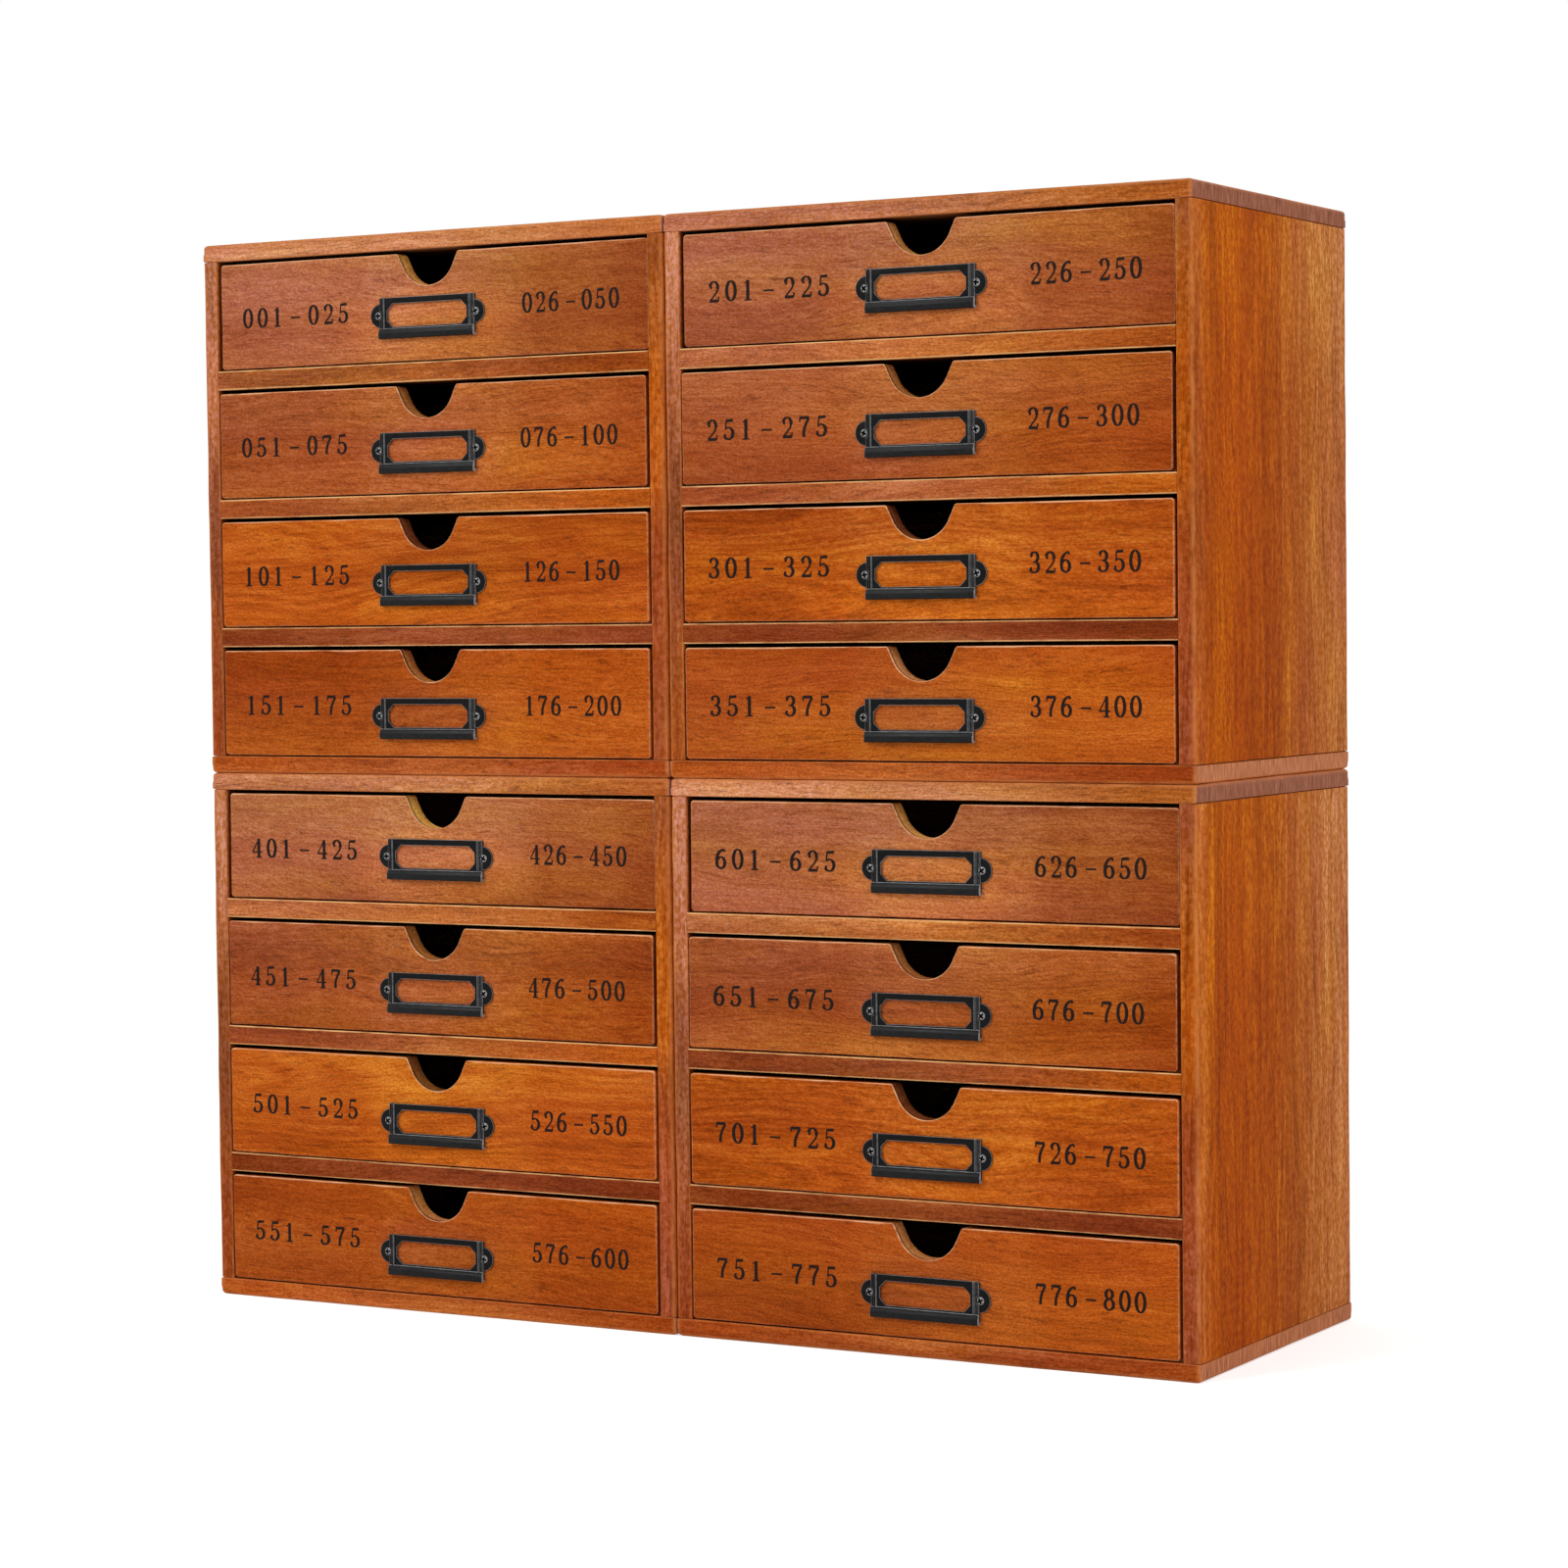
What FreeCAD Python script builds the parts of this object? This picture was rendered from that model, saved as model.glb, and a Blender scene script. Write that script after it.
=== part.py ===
# A bank of button storage drawers: four wooden cabinets, two on two, with four drawers in each.
# Every cabinet is a glued box of boards with three shelves and a plywood back. Every drawer has a
# front with a finger notch, a rabbeted box and a steel label holder held by two screws.
import FreeCAD, Part
import os

import Sketcher

doc = FreeCAD.newDocument("button_storage_drawers")
sizes = doc.addObject("Spreadsheet::Sheet", "sizes")

# Driving dimensions, in millimetres.
DRIVING_SIZES = {
    # The cabinet and its boards
    "cabinet_width": 255.0,
    "cabinet_depth": 170.0,
    "cabinet_height": 250.0,
    "column_gap": 0.4,            # air between the left and right cabinets
    "board": 8.0,                 # top, bottom and sides
    "shelf_board": 9.0,
    "dado": 3.0,                  # how far a shelf is let into a side
    "dado_stop": 8.0,             # the dado ends this far behind the front
    "back_panel": 3.0,
    "back_margin": 4.0,           # outer wood left beside the back panel
    "corner_round": 2.5,          # upright outer corners
    "edge_round": 1.8,            # outer edges of the top and bottom boards
    # The drawer front
    "front_width": 236.8,
    "front_height": 49.6,
    "front_foot": 0.4,            # the front's lower edge clears the shelf by this
    "front_board": 8.0,
    "front_lip": 3.0,             # wood left in front of the drawer's sides
    "front_corner": 1.5,
    "front_edge": 0.8,
    "notch": 15.0,                # radius of the finger notch
    "notch_mouth": 16.6,          # half its width along the front's upper edge
    "notch_shoulder": 1.5,
    # The drawer box
    "drawer_length": 163.0,
    "drawer_board": 6.0,          # sides and back
    "drawer_wall": 45.0,          # height of the sides
    "drawer_panel": 2.5,          # plywood bottom
    "panel_lift": 3.0,            # the bottom's underside is this far above the shelf
    "housing": 3.0,               # depth of the grooves and dadoes in the drawer
    "drawer_back_inset": 4.0,     # side wood left behind the drawer's back
    # The label holder
    "holder_width": 52.6,
    "holder_height": 18.9,
    "holder_foot": 9.85,          # from the drawer's lower edge up to the holder
    "holder_plate": 1.2,          # the plate's face stands this far off the wood
    "card_slot": 0.5,             # depth of the slot behind the plate
    "card_width": 46.6,
    "band_width": 3.0,            # raised bands at the two ends
    "band_reach": 1.9,
    "band_arris": 0.45,
    "window_width": 44.0,
    "window_height": 10.7,
    "window_corner": 3.0,
    "window_drop": 2.8,           # from the holder's top down to the window
    "ledge_reach": 2.5,
    "ledge_height": 4.8,
    "ledge_front": 2.6,           # height of the ledge's upright front
    "ledge_nose": 0.9,
    "ear": 5.4,                   # radius of the round ears
    "ear_plate": 0.8,
    "ear_centre": 26.1,
    "screw_centre": 27.0,
    "screw_head": 1.9,
    "screw_dome": 1.1,
    "screw_crown": 0.77,          # rounding of the head's rim
    "screw_shank": 0.9,
    "screw_point": 0.63,          # chamfer at the shank's end
    "screw_length": 6.0,
    "screw_slot": 0.5,
    "slot_reach": 1.178,
    "slot_depth": 0.6,
    "head_clearance": 0.25,
    "shank_clearance": 0.2,
}

# How each of the four drawers sits when it is shut, from the top row down: pushed to one side in
# its opening, and a little behind (below zero) or ahead of the cabinet's front. Then how far its
# label holder was screwed on to the right and above its right place.
for drawer, (shift, proud, aside, above) in enumerate([(0.75, -1.0, 0.0, 1.3),
                                                       (-0.75, -0.5, 0.9, -0.1),
                                                       (0.15, 0.8, 0.4, -0.4),
                                                       (-0.35, 0.0, -1.0, -1.2)], 1):
    DRIVING_SIZES[f"drawer_{drawer}_shift"] = shift
    DRIVING_SIZES[f"drawer_{drawer}_proud"] = proud
    DRIVING_SIZES[f"holder_{drawer}_aside"] = aside
    DRIVING_SIZES[f"holder_{drawer}_above"] = above

for line, (alias, value) in enumerate(DRIVING_SIZES.items(), 1):
    sizes.set(f"A{line}", alias)
    sizes.set(f"B{line}", str(value))
    sizes.setAlias(f"B{line}", alias)
doc.recompute()


def sheet(words):
    """Turns plain names in a formula into references to the spreadsheet's cells."""
    return " ".join(f"sizes.{word}" if word in DRIVING_SIZES else word for word in words.split())


# ---- sketches and features ---------------------------------------------------------------------

def new_body(name):
    return doc.addObject("PartDesign::Body", name)


def new_sketch(body, name, plane, offset="0"):
    """Makes a sketch on one of the body's own origin planes, moved out along its normal."""
    sketch = body.newObject("Sketcher::SketchObject", name)
    support = next(face for face in body.Origin.OriginFeatures if face.Role == plane)
    sketch.AttachmentSupport = [(support, "")]
    sketch.MapMode = "FlatFace"
    sketch.setExpression("AttachmentOffset.Base.z", sheet(offset))
    return sketch


def hold(sketch, direction, geometry, point, formula):
    """Holds a point of the sketch at a distance from its origin, along X or Y."""
    value = float(sketch.evalExpression(sheet(formula)))
    if value == 0:
        axis = -2 if direction == "DistanceX" else -1
        sketch.addConstraint(Sketcher.Constraint("PointOnObject", geometry, point, axis))
        return
    index = sketch.addConstraint(Sketcher.Constraint(direction, -1, 1, geometry, point, value))
    sketch.setExpression(f"Constraints[{index}]", sheet(formula))


def outline(sketch, corners):
    """Draws a closed outline of straight lines through corners given as pairs of formulas."""
    first = sketch.GeometryCount
    points = [FreeCAD.Vector(*(float(sketch.evalExpression(sheet(part))) for part in corner), 0)
              for corner in corners]
    count = len(points)
    for line in range(count):
        sketch.addGeometry(Part.LineSegment(points[line], points[(line + 1) % count]))
    for line in range(count):
        following = first + (line + 1) % count
        sketch.addConstraint(Sketcher.Constraint("Coincident", first + line, 2, following, 1))
    for line, (across, up) in enumerate(corners):
        hold(sketch, "DistanceX", first + line, 1, across)
        hold(sketch, "DistanceY", first + line, 1, up)


def rectangle(sketch, left, right, low, high):
    outline(sketch, [(left, low), (right, low), (right, high), (left, high)])


def circle(sketch, across, up, radius):
    index = sketch.GeometryCount
    centre = [float(sketch.evalExpression(sheet(part))) for part in (across, up)]
    value = float(sketch.evalExpression(sheet(radius)))
    ring = Part.Circle(FreeCAD.Vector(*centre, 0), FreeCAD.Vector(0, 0, 1), value)
    sketch.addGeometry(ring)
    hold(sketch, "DistanceX", index, 3, across)
    hold(sketch, "DistanceY", index, 3, up)
    round_size = sketch.addConstraint(Sketcher.Constraint("Radius", index, value))
    sketch.setExpression(f"Constraints[{round_size}]", sheet(radius))


def pad(body, sketch, length, reverse=False, both_ways=False):
    feature = body.newObject("PartDesign::Pad", sketch.Name + "_pad")
    feature.Profile = sketch
    feature.setExpression("Length", sheet(length))
    feature.Reversed = reverse
    feature.SideType = "Symmetric" if both_ways else "One side"
    sketch.Visibility = False
    doc.recompute()
    return feature


def pocket(body, sketch, length=None, reverse=False, both_ways=False):
    """Cuts the sketch out of the body, right through where no length is given."""
    before = body.Tip.Shape.Volume
    feature = body.newObject("PartDesign::Pocket", sketch.Name + "_pocket")
    feature.Profile = sketch
    if length is None:
        feature.Type = "ThroughAll"
    else:
        feature.setExpression("Length", sheet(length))
    feature.Reversed = reverse
    feature.SideType = "Symmetric" if both_ways else "One side"
    doc.recompute()
    if feature.Shape.Volume >= before:
        raise ValueError(f"{feature.Name} cut nothing")
    return feature


def dress(body, kind, name, edges, size, radius):
    """Adds a Fillet or a Chamfer to the named edges of the body's last feature."""
    if not edges:
        raise ValueError(f"{name} found no edges")
    base = body.Tip
    feature = body.newObject(f"PartDesign::{kind}", name)
    feature.Base = (base, edges)
    feature.setExpression(size, sheet(radius))
    doc.recompute()
    return feature


def rounded(body, name, edges, radius):
    return dress(body, "Fillet", name, edges, "Radius", radius)


def value_of(formula):
    return float(sizes.evalExpression(sheet(formula)))


def edges_where(body, test):
    """Names the edges of the body's last feature whose box passes the test."""
    return [f"Edge{number}" for number, edge in enumerate(body.Tip.Shape.Edges, 1)
            if test(edge.BoundBox)]


def near(first, second):
    return abs(first - second) < 1e-4


def flat_at(box, axis, place):
    """Says whether an edge's box lies wholly in the plane where axis is at place."""
    return near(getattr(box, axis + "Min"), place) and near(getattr(box, axis + "Max"), place)


# ---- groups and copies -------------------------------------------------------------------------

def move(thing, across="0", back="0", up="0"):
    for letter, formula in zip("xyz", (across, back, up)):
        thing.setExpression(f"Placement.Base.{letter}", sheet(formula))


def turn(thing, axis, degrees):
    thing.Placement = FreeCAD.Placement(FreeCAD.Vector(), FreeCAD.Rotation(axis, degrees))


def mirrored(name, piece):
    """A copy of a piece for the other hand, turned over the plane where X is zero."""
    other = doc.addObject("Part::Mirroring", name)
    other.Source = piece
    other.Normal = FreeCAD.Vector(1, 0, 0)
    return other


def group(name, pieces):
    """Holds pieces together as one compound, each still a solid of its own."""
    holder = doc.addObject("Part::Compound", name)
    holder.Links = pieces
    return holder


# ---- cabinet boards, each drawn where it stands in a cabinet ------------------------------------
# X runs from the cabinet's left side, Y back from its front face, Z up from its underside.

OPENING_HEIGHT = "( cabinet_height - 2 * board - 3 * shelf_board ) / 4"


def shelf_underside(shelf):
    """Height of a shelf above the underside of the cabinet, counted from the lowest."""
    return f"board + {shelf} * {OPENING_HEIGHT} + {shelf - 1} * shelf_board"


def side_board():
    """A side board of glued-up staves, with its outer face at X zero and its middle at Z zero."""
    body = new_body("side_board")
    half = "( cabinet_height / 2 - board )"
    face = new_sketch(body, "side_face", "YZ_Plane")
    rectangle(face, "0", "cabinet_depth", f"-1 * {half}", half)
    pad(body, face, "board")

    dadoes = new_sketch(body, "shelf_dadoes", "YZ_Plane", "board - dado")
    for shelf in (1, 2, 3):
        low = f"{shelf_underside(shelf)} - cabinet_height / 2"
        rectangle(dadoes, "dado_stop", "cabinet_depth - back_panel", low, f"{low} + shelf_board")
    pocket(body, dadoes, "dado", reverse=True)

    rabbet = new_sketch(body, "back_rabbet", "XY_Plane")
    rectangle(rabbet, "back_margin", "board", "cabinet_depth - back_panel", "cabinet_depth")
    pocket(body, rabbet, both_ways=True)

    outer = edges_where(body, lambda box: flat_at(box, "X", 0) and box.ZLength > 100)
    rounded(body, "side_corners", outer, "corner_round")
    return body


def end_board():
    """A top board, which covers the ends of the side boards. A bottom board is one turned over."""
    body = new_body("end_board")
    plan = new_sketch(body, "end_plan", "XY_Plane")
    rectangle(plan, "cabinet_width / -2", "cabinet_width / 2", "0", "cabinet_depth")
    pad(body, plan, "board")

    rabbet = new_sketch(body, "end_rabbet", "XY_Plane")
    half = "( cabinet_width / 2 - back_margin )"
    rectangle(rabbet, f"-1 * {half}", half, "cabinet_depth - back_panel", "cabinet_depth")
    pocket(body, rabbet, "back_margin", reverse=True)

    board, half_width = value_of("board"), value_of("cabinet_width / 2")
    uprights = edges_where(body, lambda box: near(box.ZLength, board) and near(box.XLength, 0)
                           and near(abs(box.XMin), half_width))
    rounded(body, "end_corners", uprights, "corner_round")
    top = edges_where(body, lambda box: flat_at(box, "Z", board))
    rounded(body, "end_top_edges", top, "edge_round")
    return body


def shelf():
    """A shelf with its two front corners notched, so that the side boards hide its dadoes."""
    body = new_body("shelf")
    half_opening = "( cabinet_width / 2 - board )"
    half_length = "( cabinet_width / 2 - board + dado )"
    plan = new_sketch(body, "shelf_plan", "XY_Plane")
    outline(plan, [
        (f"-1 * {half_opening}", "0"), (half_opening, "0"), (half_opening, "dado_stop"),
        (half_length, "dado_stop"), (half_length, "cabinet_depth - back_panel"),
        (f"-1 * {half_length}", "cabinet_depth - back_panel"),
        (f"-1 * {half_length}", "dado_stop"), (f"-1 * {half_opening}", "dado_stop"),
    ])
    pad(body, plan, "shelf_board")
    return body


def back_panel():
    body = new_body("back_panel")
    plan = new_sketch(body, "back_plan", "XY_Plane", "back_margin")
    half = "( cabinet_width / 2 - back_margin )"
    rectangle(plan, f"-1 * {half}", half, "cabinet_depth - back_panel", "cabinet_depth")
    pad(body, plan, "cabinet_height - 2 * back_margin")
    return body


# ---- drawer pieces, drawn from the bottom middle of the drawer's front face ----------------------

def drawer_front(drawer):
    """One drawer's front: a board with a finger notch, rabbeted for the sides and grooved for the
    bottom, with holes for the screws of its own label holder."""
    body = new_body(f"drawer_{drawer}_front")
    face = new_sketch(body, "front_face", "XZ_Plane")
    top = "front_foot + front_height"
    rectangle(face, "front_width / -2", "front_width / 2", "front_foot", top)
    pad(body, face, "front_board", reverse=True)

    notch = new_sketch(body, "finger_notch", "XZ_Plane")
    circle(notch, "0", top, "notch")
    pocket(body, notch)
    # The notch's sides leave the circle at a tangent and run out straight to its mouth.
    mouth = new_sketch(body, "notch_mouth", "XZ_Plane")
    across = "( notch * notch / notch_mouth )"
    down = "( notch * sqrt( notch_mouth * notch_mouth - notch * notch ) / notch_mouth )"
    outline(mouth, [
        (f"-1 * {across}", f"{top} - {down}"), (across, f"{top} - {down}"),
        ("notch_mouth", top), ("-1 * notch_mouth", top),
    ])
    pocket(body, mouth)
    height = value_of(top)
    shoulders = edges_where(body, lambda box: flat_at(box, "Z", height) and near(box.XLength, 0)
                            and abs(box.XMin) < value_of("notch_mouth") + 1)
    rounded(body, "notch_shoulders", shoulders, "notch_shoulder")
    half_width = value_of("front_width / 2")
    corners = edges_where(body, lambda box: near(abs(box.XMin), half_width)
                          and near(box.XLength, 0) and near(box.ZLength, 0))
    rounded(body, "front_corners", corners, "front_corner")
    rim = edges_where(body, lambda box: flat_at(box, "Y", 0))
    rounded(body, "front_arris", rim, "front_edge")

    rabbets = new_sketch(body, "side_rabbets", "XY_Plane")
    inner = "( front_width / 2 - drawer_board )"
    for near_side, far_side in ((f"-1 * {inner}", "front_width / -2"), (inner, "front_width / 2")):
        rectangle(rabbets, near_side, far_side, "front_lip", "front_board")
    pocket(body, rabbets, both_ways=True)

    groove = new_sketch(body, "front_groove", "YZ_Plane")
    rectangle(groove, "front_board - housing", "front_board", "panel_lift",
              "panel_lift + drawer_panel")
    pocket(body, groove, both_ways=True)

    pilots = new_sketch(body, "screw_pilots", "XZ_Plane")
    for side in ("-1 *", "1 *"):
        circle(pilots, f"{side} screw_centre + holder_{drawer}_aside",
               f"{WINDOW_MIDDLE} + holder_{drawer}_above", "screw_shank")
    pocket(body, pilots, "screw_length")
    return body


def drawer_side():
    """The left side of a drawer, grooved for the bottom and let in for the drawer's back."""
    body = new_body("drawer_side")
    outer = "front_width / -2"
    face = new_sketch(body, "wall_face", "YZ_Plane", outer)
    rectangle(face, "front_lip", "drawer_length", "0", "drawer_wall")
    pad(body, face, "drawer_board")
    inner = f"{outer} + drawer_board - housing"
    groove = new_sketch(body, "wall_groove", "YZ_Plane", inner)
    rectangle(groove, "front_lip", "drawer_length", "panel_lift", "panel_lift + drawer_panel")
    pocket(body, groove, "housing", reverse=True)
    dado = new_sketch(body, "wall_dado", "YZ_Plane", inner)
    rear = "drawer_length - drawer_back_inset"
    rectangle(dado, f"{rear} - drawer_board", rear, "panel_lift + drawer_panel", "drawer_wall")
    pocket(body, dado, "housing", reverse=True)
    return body


def drawer_back():
    """The drawer's back, let into both sides, standing on the bottom panel."""
    body = new_body("drawer_back")
    plan = new_sketch(body, "rear_plan", "XY_Plane", "panel_lift + drawer_panel")
    half = "( front_width / 2 - drawer_board + housing )"
    rear = "drawer_length - drawer_back_inset"
    rectangle(plan, f"-1 * {half}", half, f"{rear} - drawer_board", rear)
    pad(body, plan, "drawer_wall - panel_lift - drawer_panel")
    return body


def drawer_bottom():
    """The plywood bottom, slid in from behind into the grooves of the front and the sides."""
    body = new_body("drawer_bottom")
    plan = new_sketch(body, "bottom_plan", "XY_Plane", "panel_lift")
    half = "( front_width / 2 - drawer_board + housing )"
    wide_from = "front_board"
    narrow = "( front_width / 2 - drawer_board )"
    outline(plan, [
        (f"-1 * {narrow}", "front_board - housing"), (narrow, "front_board - housing"),
        (narrow, wide_from), (half, wide_from), (half, "drawer_length"),
        (f"-1 * {half}", "drawer_length"), (f"-1 * {half}", wide_from),
        (f"-1 * {narrow}", wide_from),
    ])
    pad(body, plan, "drawer_panel")
    return body


# ---- label holder ------------------------------------------------------------------------------

HOLDER_TOP = "( holder_foot + holder_height )"
WINDOW_MIDDLE = "( holder_foot + holder_height - window_drop - window_height / 2 )"


def label_holder():
    """A steel frame: round ears, a plate with a cut-corner window, end bands and a card ledge."""
    body = new_body("label_frame")
    ears = new_sketch(body, "ear_web", "XZ_Plane")
    rectangle(ears, "-1 * ear_centre", "ear_centre", f"{WINDOW_MIDDLE} - ear",
              f"{WINDOW_MIDDLE} + ear")
    pad(body, ears, "ear_plate")
    for side, sign in (("left", "-1 *"), ("right", "1 *")):
        ear = new_sketch(body, f"{side}_ear", "XZ_Plane")
        circle(ear, f"{sign} ear_centre", WINDOW_MIDDLE, "ear")
        pad(body, ear, "ear_plate")

    plate = new_sketch(body, "plate", "XZ_Plane")
    rectangle(plate, "holder_width / -2", "holder_width / 2", "holder_foot", HOLDER_TOP)
    pad(body, plate, "holder_plate")
    for side, sign in (("left", "-1 *"), ("right", "1 *")):
        band = new_sketch(body, f"{side}_band", "XZ_Plane")
        rectangle(band, f"{sign} holder_width / 2", f"{sign} ( holder_width / 2 - band_width )",
                  "holder_foot", HOLDER_TOP)
        pad(body, band, "band_reach")

    ledge = new_sketch(body, "ledge", "YZ_Plane")
    outline(ledge, [
        ("0", "holder_foot"), ("-1 * ledge_reach", "holder_foot"),
        ("-1 * ledge_reach", "holder_foot + ledge_front"),
        ("-1 * band_reach", "holder_foot + ledge_height"), ("0", "holder_foot + ledge_height"),
    ])
    pad(body, ledge, "holder_width", both_ways=True)

    slot = new_sketch(body, "card_slot", "XZ_Plane")
    rectangle(slot, "card_width / -2", "card_width / 2", "holder_foot + ledge_height / 2",
              HOLDER_TOP)
    pocket(body, slot, "card_slot", reverse=True)
    window = new_sketch(body, "card_window", "XZ_Plane")
    low, high = f"{WINDOW_MIDDLE} - window_height / 2", f"{WINDOW_MIDDLE} + window_height / 2"
    side, cut = "window_width / 2", "( window_width / 2 - window_corner )"
    outline(window, [
        (f"-1 * {cut}", low), (cut, low), (side, f"{low} + window_corner"),
        (side, f"{high} - window_corner"), (cut, high), (f"-1 * {cut}", high),
        (f"-1 * {side}", f"{high} - window_corner"), (f"-1 * {side}", f"{low} + window_corner"),
    ])
    pocket(body, window, reverse=True)

    clearance = new_sketch(body, "head_clearance", "XZ_Plane", "ear_plate")
    holes = new_sketch(body, "screw_holes", "XZ_Plane")
    for sign in ("-1 *", "1 *"):
        circle(clearance, f"{sign} screw_centre", WINDOW_MIDDLE, "screw_head + head_clearance")
        circle(holes, f"{sign} screw_centre", WINDOW_MIDDLE, "screw_shank + shank_clearance")
    pocket(body, clearance, reverse=True)
    pocket(body, holes, reverse=True)

    reach, band = value_of("ledge_reach"), value_of("band_reach")
    nose = edges_where(body, lambda box: flat_at(box, "Y", -reach) and box.XLength > value_of("card_width"))
    rounded(body, "ledge_nose", nose, "ledge_nose")
    faces = edges_where(body, lambda box: flat_at(box, "Y", -band) and near(box.XLength, 0)
                        and box.ZLength > value_of("holder_plate"))
    rounded(body, "band_arrises", faces, "band_arris")
    return body


def label_screw():
    """A round-headed screw with a cross slot. Its axis is Z and its head sits on Z zero."""
    body = new_body("label_screw")
    head = new_sketch(body, "screw_head", "XY_Plane")
    circle(head, "0", "0", "screw_head")
    pad(body, head, "screw_dome")
    crown = edges_where(body, lambda box: flat_at(box, "Z", value_of("screw_dome")))
    rounded(body, "screw_crown", crown, "screw_crown")
    shank = new_sketch(body, "screw_shank", "XY_Plane")
    circle(shank, "0", "0", "screw_shank")
    pad(body, shank, "screw_length", reverse=True)
    tip = edges_where(body, lambda box: flat_at(box, "Z", value_of("-1 * screw_length")))
    dress(body, "Chamfer", "screw_tip", tip, "Size", "screw_point")
    for name, long_way, short_way in (("slot_across", "slot_reach", "screw_slot / 2"),
                                      ("slot_along", "screw_slot / 2", "slot_reach")):
        slot = new_sketch(body, name, "XY_Plane", "screw_dome - slot_depth")
        rectangle(slot, f"-1 * {long_way}", long_way, f"-1 * {short_way}", short_way)
        pocket(body, slot, "slot_depth", reverse=True)
    return body


# ---- one cabinet and one drawer ------------------------------------------------------------------

ACROSS = FreeCAD.Vector(1, 0, 0)
INTO_CABINET = FreeCAD.Vector(0, 1, 0)

side, end = side_board(), end_board()
shelf_piece, back = shelf(), back_panel()

left_side = group("left_side", [side])
move(left_side, up="cabinet_height / 2")
right_side = group("right_side", [side])
turn(right_side, INTO_CABINET, 180)
move(right_side, across="cabinet_width", up="cabinet_height / 2")
top_board = group("top_board", [end])
move(top_board, across="cabinet_width / 2", up="cabinet_height - board")
bottom_board = group("bottom_board", [end])
turn(bottom_board, INTO_CABINET, 180)
move(bottom_board, across="cabinet_width / 2", up="board")
case = group("case", [left_side, right_side, top_board, bottom_board])

shelf_pieces = []
for number in (1, 2, 3):
    placed = group(f"shelf_{number}", [shelf_piece])
    move(placed, across="cabinet_width / 2", up=shelf_underside(number))
    shelf_pieces.append(placed)
shelves = group("shelves", shelf_pieces)

back_placed = group("back", [back])
move(back_placed, across="cabinet_width / 2")

fronts = {drawer: drawer_front(drawer) for drawer in (1, 2, 3, 4)}
wall, rear_wall, floor = drawer_side(), drawer_back(), drawer_bottom()
drawer_box = group("drawer_box", [wall, mirrored("right_wall", wall), rear_wall, floor])

frame, screw = label_holder(), label_screw()
screws = []
for name, sign in (("left_screw", "-1 *"), ("right_screw", "1 *")):
    placed = group(name, [screw])
    turn(placed, ACROSS, 90)
    move(placed, across=f"{sign} screw_centre", back="-1 * ear_plate", up=WINDOW_MIDDLE)
    screws.append(placed)
holder = group("holder", [frame] + screws)

# ---- the bank: two cabinets on two, each with four drawers ---------------------------------------
# The origin is under the middle of the whole bank, with its front towards -Y.

FRONT_PLANE = "( drawer_3_proud + ledge_reach - cabinet_depth ) / 2"
COLUMNS = {"left": "( -1 * cabinet_width - column_gap / 2 )", "right": "( column_gap / 2 )"}
TIERS = {"lower": "0", "upper": "cabinet_height"}

nodes = []


def place(label, source, across, back, up):
    node = group(label, [source])
    move(node, across, back, up)
    nodes.append(node)


for tier, tier_up in TIERS.items():
    for column, column_across in COLUMNS.items():
        cabinet = f"{tier}_{column}"
        for piece, source in (("case", case), ("shelves", shelves), ("back_panel", back_placed)):
            place(f"{cabinet}_{piece}", source, column_across, FRONT_PLANE, tier_up)
        for drawer in (1, 2, 3, 4):
            across = f"{column_across} + cabinet_width / 2 + drawer_{drawer}_shift"
            back_to = f"{FRONT_PLANE} - drawer_{drawer}_proud"
            up = f"{tier_up} + board + {4 - drawer} * ( {OPENING_HEIGHT} + shelf_board )"
            for piece, source in (("front", fronts[drawer]), ("box", drawer_box)):
                place(f"{cabinet}_drawer_{drawer}_{piece}", source, across, back_to, up)
            place(f"{cabinet}_drawer_{drawer}_label_holder", holder,
                  f"{across} + holder_{drawer}_aside", back_to, f"{up} + holder_{drawer}_above")

doc.recompute()

# ---- check and write -----------------------------------------------------------------------------

for thing in doc.Objects:
    if "Invalid" in thing.State or "Error" in thing.State:
        raise ValueError(f"{thing.Name} failed: {thing.State}")
for node in nodes:
    if node.Shape.isNull() or not node.Shape.isValid():
        raise ValueError(f"{node.Label} has no valid shape")

os.makedirs("parts", exist_ok=True)
for node in nodes:
    node.Shape.exportStep(f"parts/{node.Label}.step")

whole = Part.makeCompound([node.Shape for node in nodes])
box = whole.BoundBox
print(f"{len(nodes)} nodes, {len(whole.Solids)} solids")
print(f"X {box.XMin:.2f} to {box.XMax:.2f}, Y {box.YMin:.2f} to {box.YMax:.2f}, "
      f"Z {box.ZMin:.2f} to {box.ZMax:.2f}")
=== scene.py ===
# A bank of button storage drawers: four stained wooden cabinets, two on two, with sixteen drawers.
# It is put together here as a joiner would: boards, back panels, drawers, numbers, label holders.
import math

import bmesh
import bpy
import numpy as np
from mathutils import Matrix, Vector, geometry, noise


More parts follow.
